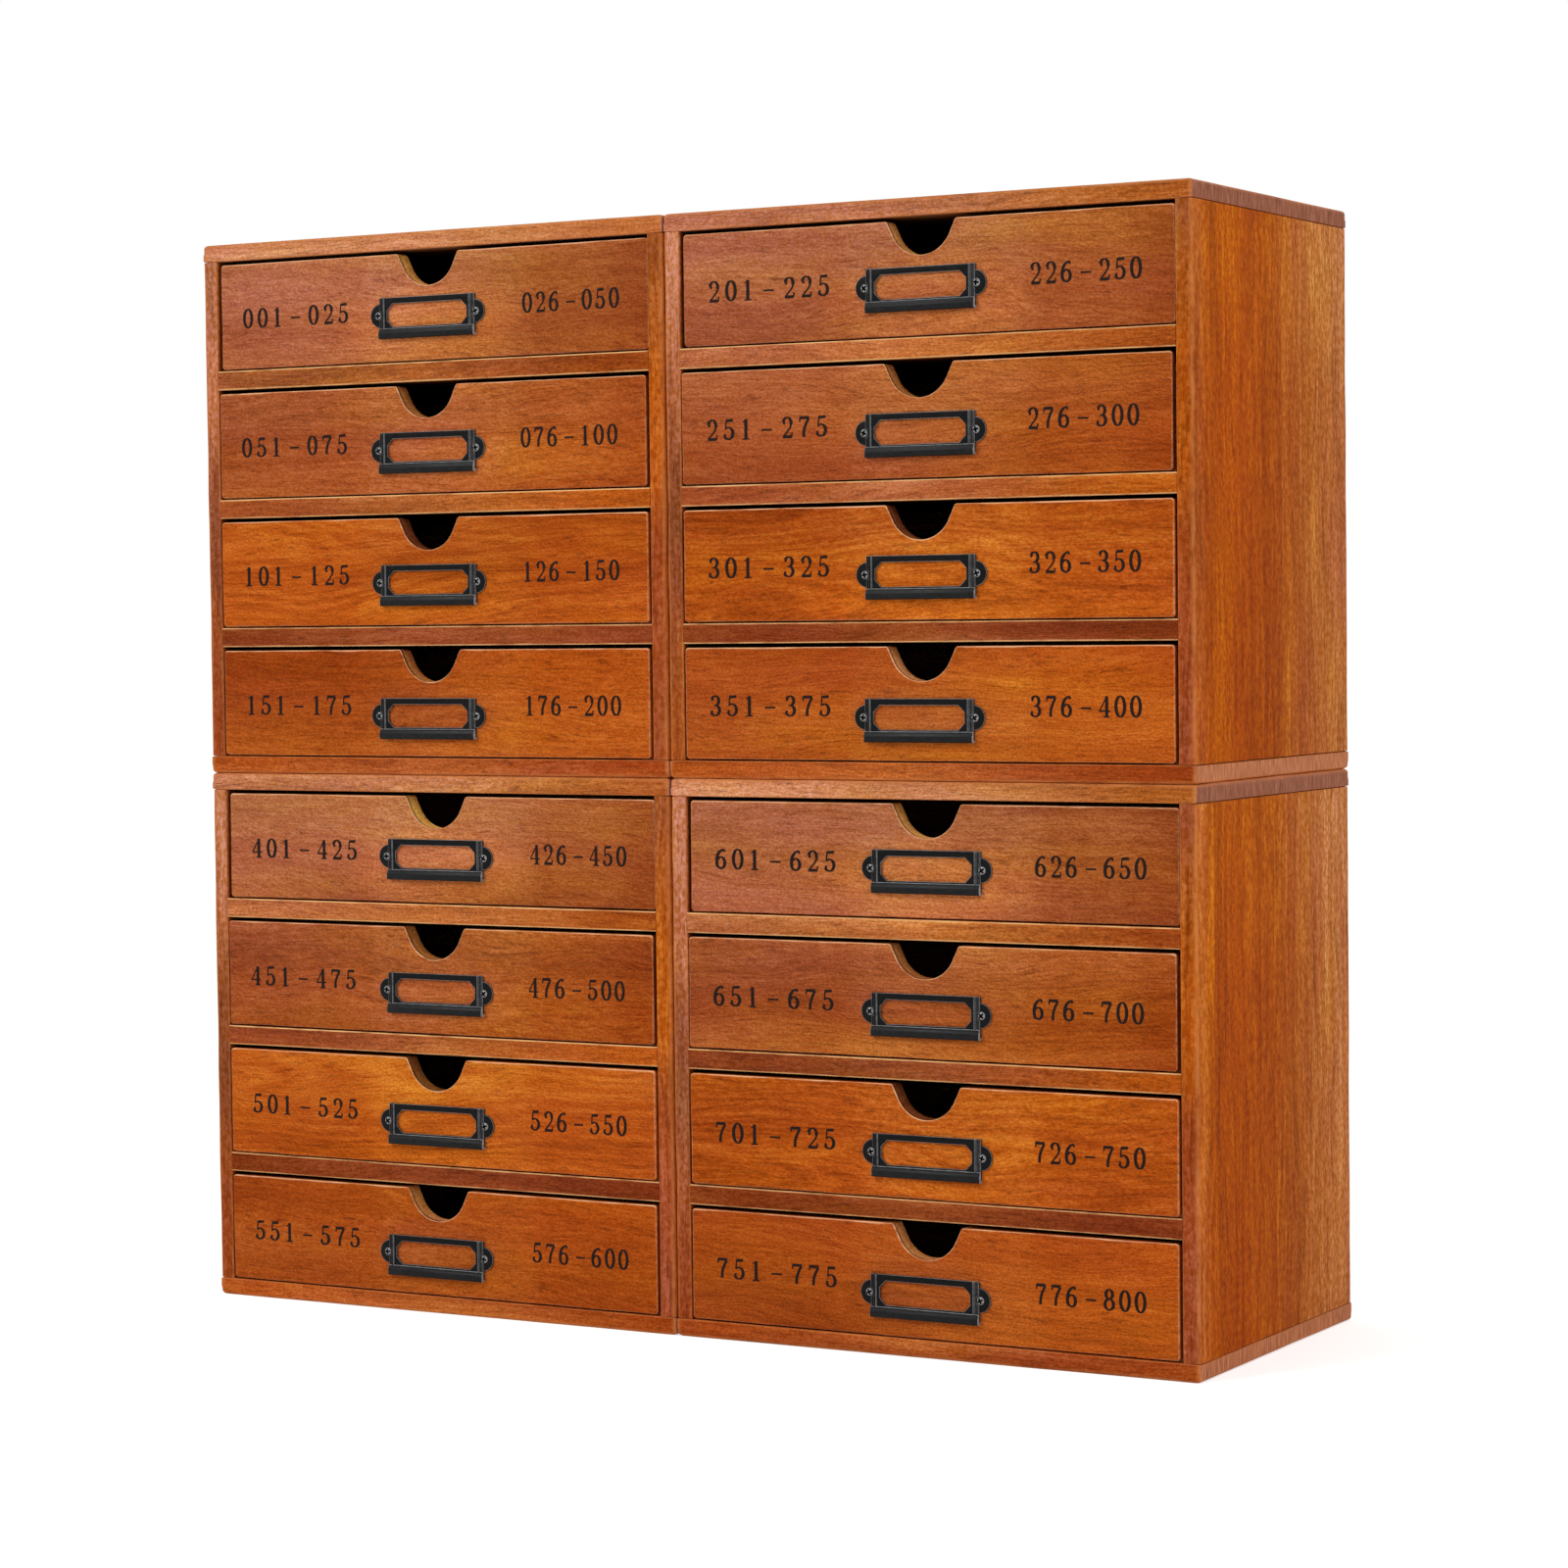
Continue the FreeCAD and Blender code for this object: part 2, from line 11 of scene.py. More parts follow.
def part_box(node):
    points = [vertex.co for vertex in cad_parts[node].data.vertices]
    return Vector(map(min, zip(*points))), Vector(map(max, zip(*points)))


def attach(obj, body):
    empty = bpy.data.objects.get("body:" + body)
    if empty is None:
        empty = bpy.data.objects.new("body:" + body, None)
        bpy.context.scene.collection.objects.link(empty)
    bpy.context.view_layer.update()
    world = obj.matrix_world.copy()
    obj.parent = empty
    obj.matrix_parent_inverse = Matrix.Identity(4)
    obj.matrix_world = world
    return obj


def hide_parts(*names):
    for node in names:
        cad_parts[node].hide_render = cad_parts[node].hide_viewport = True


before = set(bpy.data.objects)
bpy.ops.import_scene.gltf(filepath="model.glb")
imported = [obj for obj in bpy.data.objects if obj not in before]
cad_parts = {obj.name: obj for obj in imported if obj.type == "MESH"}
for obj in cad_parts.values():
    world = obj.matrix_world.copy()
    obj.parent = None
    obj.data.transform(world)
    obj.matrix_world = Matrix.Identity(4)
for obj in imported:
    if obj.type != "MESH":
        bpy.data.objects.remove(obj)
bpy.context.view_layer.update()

# ---- 1. The cabinet boards -----------------------------------------------------------------------
# Eight millimetre boards of a reddish hardwood, stained and waxed. The top and bottom boards cover
# the ends of the sides, and the back edges are rabbeted for a thin panel. Hands and cloths have
# rubbed the stain off the outer edges, and their pale colour also stands for a painted highlight
# along the arrises.

MM = 0.001
BOARD = 8 * MM
SHELF_BOARD = 9 * MM
SHELVES = 3
DADO = 3 * MM
DADO_STOP = 8 * MM
BACK_PANEL = 3 * MM
BACK_MARGIN = 4 * MM
CORNER_ROUND = 2.4 * MM
EDGE_ROUND = 1.7 * MM
OPENING_ROUND = 0.7 * MM
JOINT_ROUND = 0.25 * MM
ROUNDING_STEPS = (0, 0.16, 0.38, 0.66, 1.0, 1.35)
# Hand sanding makes an easing up to this part larger or smaller, so many times along a metre.
SANDING_SWING, SANDING_CLOUDS = 0.3, 38
# How far apart the points of a case board are along it, front to back and through it.
CASE_MESH = (9 * MM, 17 * MM, 3 * MM)
# Places nearer than the first are one place, and lengths under the second are nothing.
SAME_PLACE, NO_REACH = 1e-6, 1e-9
SMOOTH_BELOW = 32
PLAIN = (1, 1, 1)
cabinets = sorted(node[:-len("_case")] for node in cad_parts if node.endswith("_case"))
front_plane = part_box(cabinets[0] + "_case")[0].y


def stops(low, high, low_round, high_round, spacing, extra):
    """Places along one side of a board: close together over its rounded edges, evenly between
    them, and at each extra place."""
    from_low = [low + part * low_round for part in ROUNDING_STEPS]
    from_high = [high - part * high_round for part in ROUNDING_STEPS]
    inner_low, inner_high = max(from_low), min(from_high)
    count = max(1, round((inner_high - inner_low) / spacing))
    places = from_low + from_high + [place for place in extra if low < place < high]
    places += [inner_low + (inner_high - inner_low) * part / count for part in range(1, count)]
    kept = []
    for place in sorted(places):
        if not kept or place - kept[-1] > SAME_PLACE:
            kept.append(place)
    return np.array(kept)


def hand_worn(places):
    """How much more or less an edge is rounded at each place, as hand sanding leaves it."""
    return np.array([1 + SANDING_SWING * noise.noise(Vector(place) * SANDING_CLOUDS)
                     for place in places])


def carved_board(low, high, cuts, rounds, spacing, grain, seed, dark=None, tint=PLAIN,
                 end_tint=PLAIN):
    """One board as points, faces and finish: a block with box-shaped cuts and eased edges.

    rounds gives the six easings (low and high on each axis) as numbers or functions of the points,
    and spacing how far apart the points are on each axis. grain names the axes along, across and
    through the board. dark gives how much painted shade it has at each point, and tint and
    end_tint the tints of its long faces and its ends, from the stain and on the top board from a
    painted sheen.
    """
    low, high = np.array(low), np.array(high)
    largest = [[value if np.isscalar(value) else CORNER_ROUND for value in pair] for pair in rounds]
    axes = []
    for axis in range(3):
        extra = [edge for cut in cuts for edge in (cut[0][axis], cut[1][axis])]
        axes.append(stops(low[axis], high[axis], *largest[axis], spacing[axis], extra))
    middles = [(line[1:] + line[:-1]) / 2 for line in axes]
    solid = np.ones([len(line) for line in middles], bool)
    for cut_low, cut_high in cuts:
        inside = [(line > cut_low[axis]) & (line < cut_high[axis])
                  for axis, line in enumerate(middles)]
        solid &= ~(inside[0][:, None, None] & inside[1][None, :, None] & inside[2][None, None, :])

    faces = []
    for axis in range(3):
        padded = np.pad(solid, [(1, 1) if other == axis else (0, 0) for other in range(3)])
        change = np.diff(padded.astype(np.int8), axis=axis)
        for sign in (1, -1):
            for cell in np.argwhere(change == sign):
                one, two = [other for other in range(3) if other != axis]
                corners = []
                for step_one, step_two in ((0, 0), (1, 0), (1, 1), (0, 1)):
                    corner = list(cell)
                    corner[one] += step_one
                    corner[two] += step_two
                    corners.append(tuple(corner))
                turned = (sign == 1) == (axis != 1)
                faces.append(corners[::-1] if turned else corners)
    order = {}
    for face in faces:
        for corner in face:
            order.setdefault(corner, len(order))
    places = np.array([[axes[axis][corner[axis]] for axis in range(3)] for corner in order])

    # Each point near an edge moves onto the rounding, whose middle is its anchor.
    sanded = hand_worn(places + seed)
    offsets = np.zeros_like(places)
    anchors = places.copy()
    reach = np.zeros_like(places)
    for axis in range(3):
        for end, sign in ((0, -1), (1, 1)):
            value = rounds[axis][end]
            radius = (value(places) if callable(value) else np.full(len(places), value)) * sanded
            edge = (low, high)[end][axis]
            near = (places[:, axis] - (edge - sign * radius)) * sign
            hit = near > NO_REACH
            anchors[hit, axis] = (edge - sign * radius)[hit]
            offsets[hit, axis] = (sign * near / radius)[hit]
            reach[hit, axis] = radius[hit]
    size = np.linalg.norm(offsets, axis=1)
    longest = np.abs(offsets).max(axis=1)
    scale = np.divide(longest, size, out=np.ones_like(size), where=size > NO_REACH)
    direction = offsets * scale[:, None]
    rounded = anchors + direction * reach
    # How strongly an edge takes the pale edge colour: worn stain and a painted highlight on the
    # arris.
    weak_pull, strong_pull = np.sort(np.abs(offsets), axis=1)[:, 1:].T
    edge_rub_and_highlight = np.clip(weak_pull * strong_pull * 1.3, 0, 1)

    along, across, through = ("xyz".index(letter) for letter in grain)
    end_grain = np.clip(np.abs(direction[:, along]) * 1.4 - 0.4, 0, 1)
    end_grain *= np.minimum(places[:, along] - low[along],
                            high[along] - places[:, along]) < SAME_PLACE
    # Painted shade on faces inside the case, a little way behind the front.
    recess_shade = dark(places) if dark else np.zeros(len(places))
    return {
        "points": rounded,
        "faces": [[order[corner] for corner in face] for face in faces],
        "grain": (rounded - low)[:, [along, across, through]],
        "finish": np.stack([edge_rub_and_highlight, end_grain, recess_shade], axis=1),
        "seed": np.full(len(places), seed),
        "tint": np.outer(1 - end_grain, tint) + np.outer(end_grain, end_tint),
    }


def placed(name, mesh, smooth_below=None):
    """Puts a mesh in the scene, smooth where its faces meet at less than so many degrees."""
    if smooth_below:
        mesh.polygons.foreach_set("use_smooth", [True] * len(mesh.polygons))
        mesh.set_sharp_from_angle(angle=math.radians(smooth_below))
    made = bpy.data.objects.new(name, mesh)
    bpy.context.scene.collection.objects.link(made)
    return made


def finished_object(name, boards, material):
    """Joins boards into one mesh object that carries their grain, finish, tint and seed."""
    points, faces, start = [], [], 0
    for board in boards:
        points.append(board["points"])
        faces += [[start + index for index in face] for face in board["faces"]]
        start += len(board["points"])
    mesh = bpy.data.meshes.new(name)
    mesh.from_pydata(np.concatenate(points).tolist(), [], faces)
    for key in ("grain", "finish", "tint", "seed"):
        kind, field = ("FLOAT", "value") if key == "seed" else ("FLOAT_VECTOR", "vector")
        layer = mesh.attributes.new(key, kind, "POINT")
        layer.data.foreach_set(field, np.concatenate([board[key] for board in boards])
                               .astype(np.float32).ravel())
    mesh.materials.append(material)
    return placed(name, mesh, SMOOTH_BELOW)


class Recipe:
    """A material's shader nodes, added one after another."""

    def __init__(self, name):
        self.material = bpy.data.materials.new(name)
        self.material.use_nodes = True
        self.nodes = self.material.node_tree.nodes
        self.links = self.material.node_tree.links
        self.shader = self.nodes["Principled BSDF"]

    def add(self, kind, feeds, output=0, **settings):
        """Adds one node with its inputs and settings, and gives one of its outputs."""
        node = self.nodes.new("ShaderNode" + kind)
        for key, value in settings.items():
            setattr(node, key, value)
        for socket, value in feeds.items():
            self.feed(node.inputs[socket], value)
        return node.outputs[output]

    def feed(self, socket, value):
        """Joins another node's output to a socket, or sets the socket's own value."""
        if isinstance(value, bpy.types.NodeSocket):
            self.links.new(value, socket)
        else:
            socket.default_value = value

    def attribute(self, name, output=1):
        """What the mesh says at each place: output 1 is a vector and output 2 a number."""
        return self.add("Attribute", {}, output=output, attribute_name=name)

    def spot(self):
        """The place on the object, in metres."""
        return self.add("TexCoord", {}, output=3)

    def parts(self, vector):
        """The three numbers of a vector."""
        return self.add("SeparateXYZ", {0: vector}).node.outputs

    def sum(self, kind, first, second=0.0, third=0.0, clamp=False):
        """One step of arithmetic on numbers, kept between 0 and 1 if it is clamped."""
        return self.add("Math", {0: first, 1: second, 2: third}, operation=kind, use_clamp=clamp)

    def swung(self, value, strength, base=0.5):
        """Adds what a 0 to 1 value is above or below its middle to base, so many times over."""
        return self.sum("MULTIPLY_ADD", self.sum("SUBTRACT", value, 0.5), strength, base)

    def vector(self, kind, first, second=(0, 0, 0), third=(0, 0, 0)):
        """One step of arithmetic on vectors."""
        return self.add("VectorMath", {0: first, 1: second, 2: third}, operation=kind)

    def noise(self, place, stretch, detail=2.0, rough=0.5):
        """Cloudy noise from 0 to 1, with its own number of clouds a metre along each axis."""
        return self.add("TexNoise", {"Vector": self.vector("MULTIPLY", place, stretch),
                                     "Scale": 1.0, "Detail": detail, "Roughness": rough})

    def spread(self, value, low, high, out_low=0.0, out_high=1.0, kind="SMOOTHSTEP"):
        """Spreads what a value does between low and high over another range."""
        return self.add("MapRange", {"Value": value, "From Min": low, "From Max": high,
                                     "To Min": out_low, "To Max": out_high},
                        interpolation_type=kind)

    def blend(self, factor, first, second, kind="MIX"):
        """Lays the second colour over the first, as strongly as the factor says."""
        return self.add("Mix", {0: factor, 6: first, 7: second}, output=2, data_type="RGBA",
                        blend_type=kind, clamp_factor=True)

    def ramp(self, value, colours, kind="LINEAR"):
        """The colour that a value has between the places of a row of colours."""
        output = self.add("ValToRGB", {"Fac": value})
        strip = output.node.color_ramp
        strip.interpolation = kind
        while len(strip.elements) < len(colours):
            strip.elements.new(1.0)
        for element, (place, colour) in zip(strip.elements, colours):
            element.position = place
            element.color = colour if len(colour) == 4 else (*colour, 1)
        return output

    def tinted(self, colour, value, tints):
        """Multiplies a colour by the tints that a value picks from a ramp."""
        return self.blend(1.0, colour, self.ramp(value, tints), "MULTIPLY")

    def coat(self, finish):
        """Sets or feeds the surface's own sockets, and gives the finished material."""
        for socket, value in finish.items():
            self.feed(self.shader.inputs[socket], value)
        return self.material


def stain(red, green, blue):
    """A paint maker's 0 to 255 colour as the light it gives back."""
    return tuple((part / 255 / 12.92) if part <= 10 else ((part / 255 + 0.055) / 1.055) ** 2.4
                 for part in (red, green, blue)) + (1,)


# Pale edge colour: stain worn off the arrises, together with a painted highlight along them.
RUBBED_AND_LIT = stain(224, 146, 82)
# The dark laid on as painted shade inside openings and gaps, behind the front.
PAINTED_SHADE_DARK = stain(34, 17, 9)
END_TONES = (stain(96, 56, 42), stain(142, 88, 66), stain(176, 118, 92))
CLOUD_TINTS = ((0.25, (0.84, 0.78, 0.70)), (0.5, PLAIN), (0.75, (1.16, 1.22, 1.20)))
WARMTH_TINTS = ((0.3, (0.97, 0.92, 1.15)), (0.5, PLAIN), (0.7, (1.04, 1.13, 0.8)))
SPECK_TINTS = ((0.3, (0.86, 0.75, 0.45)), (0.5, PLAIN), (0.7, (1.14, 1.25, 1.55)))
# How strongly the open pores and the long thin hairs of the grain show.
PITTED, HAIRS = 0.45, 0.3

# Where each stave of a glued-up side begins, as a part of its depth from the front, with a number
# that moves its grain. The stain took a little differently from the front to the back.
SIDE_DEPTH = 170 * MM
STAVES = [(0.0, (0.1,) * 3), (0.10, (0.3,) * 3), (0.28, (0.5,) * 3), (0.55, (0.7,) * 3),
          (0.72, (0.9,) * 3)]
STAVE_TINTS = [(0.013, (1.05, 1.11, 1.0)), (0.018, (1.18, 1.48, 3.9)), (0.075, (1.06, 1.12, 0.55)),
               (0.15, (1.07, 1.06, 0.35)), (0.27, (0.93, 0.82, 0.3)), (0.48, (0.96, 0.98, 0.6)),
               (0.66, (0.97, 1.22, 3.0)), (0.87, (1.17, 1.86, 7.3)), (0.95, (1.19, 2.0, 9.5))]


def stained_wood(name, tones, bands=1.0, streaks=1.0, slant=0.0, flame=0.0, ripple=0.12,
                 rings=0.2, clouds=1.0, grit=(800, 1250, 1250), gritty=1.6, glued_up=False,
                 shade=(), paled=(), rubbed_and_lit=RUBBED_AND_LIT, wear_and_highlight=0.7):
    """Stained hardwood: tones are its dark, middle and light wood and its pores.

    bands are its broad lengthwise shades, streaks its narrow ones, flame the spread of the curved
    growth lines and rings their strength, ripple the fine marks that a planer leaves across the
    grain at a slant, clouds its soft patches, grit how many specks it has a metre each way, gritty
    how strong they are, and the last setting how strongly its edges take the pale edge colour,
    which is stain worn off the arrises together with a painted highlight. A glued_up board is made
    of staves.
    Each shade is an axis of the board, two places on it in millimetres and the tints that it has
    before the first and past the second: uneven stain, and on some boards painted light, paler
    towards the top as light falls from above. Each patch is its middle along and up the board, how
    far it reaches each way, all in millimetres, and its tint, a painted pool of light.
    """
    recipe = Recipe(name)
    grain, tint = recipe.attribute("grain"), recipe.attribute("tint")
    edge, end, inside = recipe.parts(recipe.attribute("finish"))
    seed = recipe.attribute("seed", 2)
    shift = recipe.vector("SCALE", (3.17, 1.93, 2.41))
    recipe.feed(shift.node.inputs["Scale"], seed)
    place = recipe.vector("ADD", grain, shift)
    where = recipe.parts(grain)
    if glued_up:
        back = recipe.sum("DIVIDE", where[1], SIDE_DEPTH)
        number = recipe.ramp(back, STAVES, "CONSTANT")
        place = recipe.vector("ADD", place, recipe.vector("MULTIPLY", number, (7.1, 3.3, 2.9)))

    # The fibres drift a little to and fro along the board, and may run at a slant to it.
    slow_drift, quick_drift = (recipe.vector("SUBTRACT", recipe.add("TexNoise", {
        "Vector": recipe.vector("MULTIPLY", place, stretch), "Detail": 1.0}, output=1),
        (0.5, 0.5, 0.5)) for stretch in ((1.8, 9, 9), (14, 60, 60)))
    drifted = recipe.vector("MULTIPLY_ADD", quick_drift, (0, 0.0014, 0.0014),
                            recipe.vector("MULTIPLY_ADD", slow_drift, (0, 0.020, 0.016), place))
    fibre = recipe.add("Mapping", {"Vector": drifted, "Rotation": (0, 0, slant)})

    broad = recipe.noise(fibre, (1.3, 42, 42), 3.0)
    narrow = recipe.noise(fibre, (6, 210, 210), 3.0, 0.6)
    fine = recipe.noise(fibre, (38, 950, 950), 3.0, 0.65)
    pores = recipe.noise(fibre, (150, 2100, 2100))
    hair = recipe.noise(fibre, (8, 520, 520) if glued_up else (75, 1150, 1150))
    planed = recipe.noise(recipe.add("Mapping", {"Vector": place, "Rotation": (0, 0, 0.5)}),
                          (120, 900, 900))
    cloud = recipe.swung(recipe.noise(place, (6, 17, 17)), clouds)
    speckle = recipe.swung(recipe.noise(place, grit, 2.0, 0.6), gritty)
    warmth = recipe.noise(place, (9, 40, 40), 3.0, 0.55)

    depth = recipe.swung(broad, 1.5 * bands)
    depth = recipe.swung(narrow, 0.6 * streaks, depth)
    depth = recipe.swung(fine, 0.8, depth)
    depth = recipe.swung(planed, 3.0 * ripple, depth)
    if flame:
        # Growth lines, cut at a low angle far from the heart of the tree, make long pointed arches.
        heart = recipe.vector("MULTIPLY_ADD", slow_drift, (0, 0.035, 0.02), grain)
        run, rise, through = recipe.parts(heart)
        lean = recipe.sum("MULTIPLY_ADD", run, flame, recipe.sum("ADD", through, 0.012))
        offset = recipe.sum("SUBTRACT", rise, recipe.sum("MULTIPLY", recipe.sum("FRACT", seed),
                                                         0.05))
        radius = recipe.sum("SQRT", recipe.sum("ADD", recipe.sum("MULTIPLY", lean, lean),
                                               recipe.sum("MULTIPLY", offset, offset)))
        growth = recipe.spread(recipe.sum("SINE", recipe.sum("MULTIPLY", radius, 1700.0)), -1, 1)
        depth = recipe.swung(growth, rings, depth)
    colour = recipe.ramp(depth, list(zip((0.0, 0.5, 1.0), tones)))
    colour = recipe.tinted(colour, cloud, CLOUD_TINTS)
    colour = recipe.tinted(colour, warmth, WARMTH_TINTS)
    colour = recipe.tinted(colour, speckle, SPECK_TINTS)
    for axis, first, last, first_tint, last_tint in shade:
        colour = recipe.tinted(colour, recipe.spread(where[axis], first * MM, last * MM),
                               [(0.0, first_tint), (1.0, last_tint)])
    # Painted light: soft paler patches round the label window of a drawer front.
    for middle, up, reach, rise, patch_tint in paled:
        aside = recipe.sum("MULTIPLY_ADD", where[0], 1 / (reach * MM), -middle / reach)
        above = recipe.sum("MULTIPLY_ADD", where[1], 1 / (rise * MM), -up / rise)
        away = recipe.sum("MULTIPLY_ADD", aside, aside, recipe.sum("MULTIPLY", above, above))
        colour = recipe.tinted(colour, recipe.spread(away, 0.3, 1.5, 1.0, 0.0),
                               [(0.0, PLAIN), (1.0, patch_tint)])
    if glued_up:
        colour = recipe.tinted(colour, back, STAVE_TINTS)
    colour = recipe.blend(recipe.spread(pores, 0.58, 0.70, 0, PITTED), colour, tones[3])
    colour = recipe.blend(recipe.spread(hair, 0.58, 0.66, 0, HAIRS), colour, tones[3])
    colour = recipe.blend(recipe.spread(hair, 0.42, 0.34, 0, 0.4 * HAIRS), colour, tones[2])
    end_colour = recipe.ramp(recipe.noise(place, (60, 900, 120), 3.0, 0.65),
                             list(zip((0.25, 0.5, 0.75), END_TONES)))
    colour = recipe.blend(recipe.sum("MULTIPLY", end, 0.92), colour, end_colour)
    colour = recipe.blend(1.0, colour, tint, "MULTIPLY")
    # The edges take the pale edge colour: worn stain and a painted highlight together.
    ragged = recipe.spread(recipe.noise(place, (70, 420, 420), 3.0, 0.6), 0.3, 0.7, 0.35, 1.5)
    rubbing_and_highlight = recipe.sum("MULTIPLY", recipe.sum("MULTIPLY", edge, ragged), wear_and_highlight, clamp=True)
    colour = recipe.blend(rubbing_and_highlight, colour, rubbed_and_lit)
    # Painted shade: faces a little way behind the front, inside openings and gaps, are darkened, and
    # the same dark draws a thin line in a drawer front's notch.
    colour = recipe.blend(recipe.sum("MULTIPLY", inside, 0.93), colour, PAINTED_SHADE_DARK)

    wax = recipe.sum("MULTIPLY_ADD", fine, 0.25, 0.32)
    relief = recipe.sum("ADD", recipe.spread(pores, 0.55, 0.75, 0, -0.8), fine)
    return recipe.coat({
        "Base Color": colour, "Specular IOR Level": 0.008,
        "Roughness": recipe.sum("MULTIPLY_ADD", inside, 0.3, wax, clamp=True),
        "Normal": recipe.add("Bump", {"Height": relief, "Strength": 0.35, "Distance": 0.3 * MM})})


CASE_TONES = (stain(112, 46, 12), stain(168, 82, 26), stain(206, 122, 52), stain(74, 30, 12))
# The case's pale edge colour: worn stain and a painted highlight.
CASE_RUBBED_AND_LIT = stain(208, 130, 72)
case_wood = stained_wood("case_wood", CASE_TONES, rubbed_and_lit=CASE_RUBBED_AND_LIT, wear_and_highlight=0.5)
side_wood = stained_wood("side_wood", CASE_TONES, bands=0.35, streaks=1.5, clouds=0.5,
                         grit=(380, 520, 520), gritty=2.4, glued_up=True,
                         # The upper end of the side is paler: painted light, where light falls from
                         # above.
                         shade=[(0, 150, 222, (0.97, 0.95, 0.92), (1.10, 1.25, 1.5))],
                         rubbed_and_lit=CASE_RUBBED_AND_LIT, wear_and_highlight=0.5)
# The top board's whitish tint is partly a painted sheen where it catches the light from above.
TOP_TINT = (1.40, 2.18, 5.8)
BOTTOM_TINT = (1.13, 1.05, 1.4)
TOP_END, BOTTOM_END = (1.04, 1.05, 1.08), (1.7, 1.7, 1.4)
SIDE_TINT = (1.06, 0.90, 0.4)

# The boards' front edges took the stain unevenly: their tints at some places along each board,
# in millimetres from its left or lower end. The top board's whitish edge tints are also a painted
# sheen where it catches the light from above.
TOP_EDGE = ((30, (1.49, 2.40, 8.8)), (130, (1.50, 2.50, 8.0)), (180, (1.33, 1.96, 4.4)),
            (230, (1.12, 1.31, 1.9)))
BOTTOM_EDGE = ((30, (1.12, 0.98, 1.3)), (125, (1.30, 1.45, 2.6)), (180, (0.98, 0.86, 1.5)),
               (230, (0.87, 0.62, 0.8)))
LEFT_EDGE = ((10, (0.86, 0.74, 1.5)), (60, (0.86, 0.88, 2.1)), (105, (0.69, 0.82, 2.6)),
             (135, (0.77, 0.88, 2.8)), (165, (1.20, 1.62, 5.2)), (225, (1.25, 1.75, 5.8)))
RIGHT_EDGE = ((10, (0.92, 0.86, 2.4)), (77, (0.93, 0.78, 1.6)), (100, (0.82, 0.66, 1.2)),
              (125, (1.24, 1.16, 1.0)), (170, (1.14, 1.04, 0.8)), (225, (0.74, 0.66, 1.2)))
EDGE_TINT_DEPTH = 2 * MM
# A hidden face is unshaded as far in as the first, and fully in painted shade the second further in.
UNSHADED_DEPTH, SHADING_DEPTH = 1.5 * MM, 2.5 * MM


def by_half(axis, middle, below, above):
    """An easing that differs between the two halves of a board's thickness."""
    return lambda places: np.where(places[:, axis] < middle, below, above)


def hidden_faces(axis, *levels):
    """Painted shade on the faces at some levels of an axis: none in front, full a little way in."""
    def shade_inward(places):
        hidden = sum(abs(places[:, axis] - level) < SAME_PLACE for level in levels)
        return hidden * np.clip((places[:, 1] - front_plane - UNSHADED_DEPTH) / SHADING_DEPTH, 0, 1)
    return shade_inward


def tinted_edge(board, front, tints):
    """Gives a board's front edge its own tints, by how far along the board they are."""
    clear = 1 - board["finish"][:, 1]
    near = np.clip(1 - (board["points"][:, 1] - front) / EDGE_TINT_DEPTH, 0, 1)
    share = (near * clear)[:, None]
    places = [place * MM for place, _ in tints]
    along = np.stack([np.interp(board["grain"][:, 0], places, [tint[part] for _, tint in tints])
                      for part in range(3)], axis=1)
    board["tint"] = board["tint"] * (1 - share) + along * share
    return board


def case_ends(low, high, seed):
    """The bottom and top boards of a cabinet's case, between the corners of its box."""
    rabbet_front = high.y - BACK_PANEL
    made = []
    for upper in (False, True):
        bottom = high.z - BOARD if upper else low.z
        inner = bottom if upper else bottom + BOARD
        rabbet = sorted((inner, inner + (BACK_MARGIN if upper else -BACK_MARGIN)))
        ends = (OPENING_ROUND, EDGE_ROUND) if upper else (EDGE_ROUND, OPENING_ROUND)
        face_round = by_half(2, bottom + BOARD / 2, *ends)
        board = carved_board(
            (low.x, low.y, bottom), (high.x, high.y, bottom + BOARD),
            [((low.x + BACK_MARGIN, rabbet_front, rabbet[0]),
              (high.x - BACK_MARGIN, high.y + MM, rabbet[1]))],
            ((CORNER_ROUND, CORNER_ROUND), (face_round, face_round), ends),
            CASE_MESH, "xyz", seed + upper, hidden_faces(2, inner),
            TOP_TINT if upper else BOTTOM_TINT, TOP_END if upper else BOTTOM_END)
        made.append(tinted_edge(board, low.y, TOP_EDGE if upper else BOTTOM_EDGE))
    return made


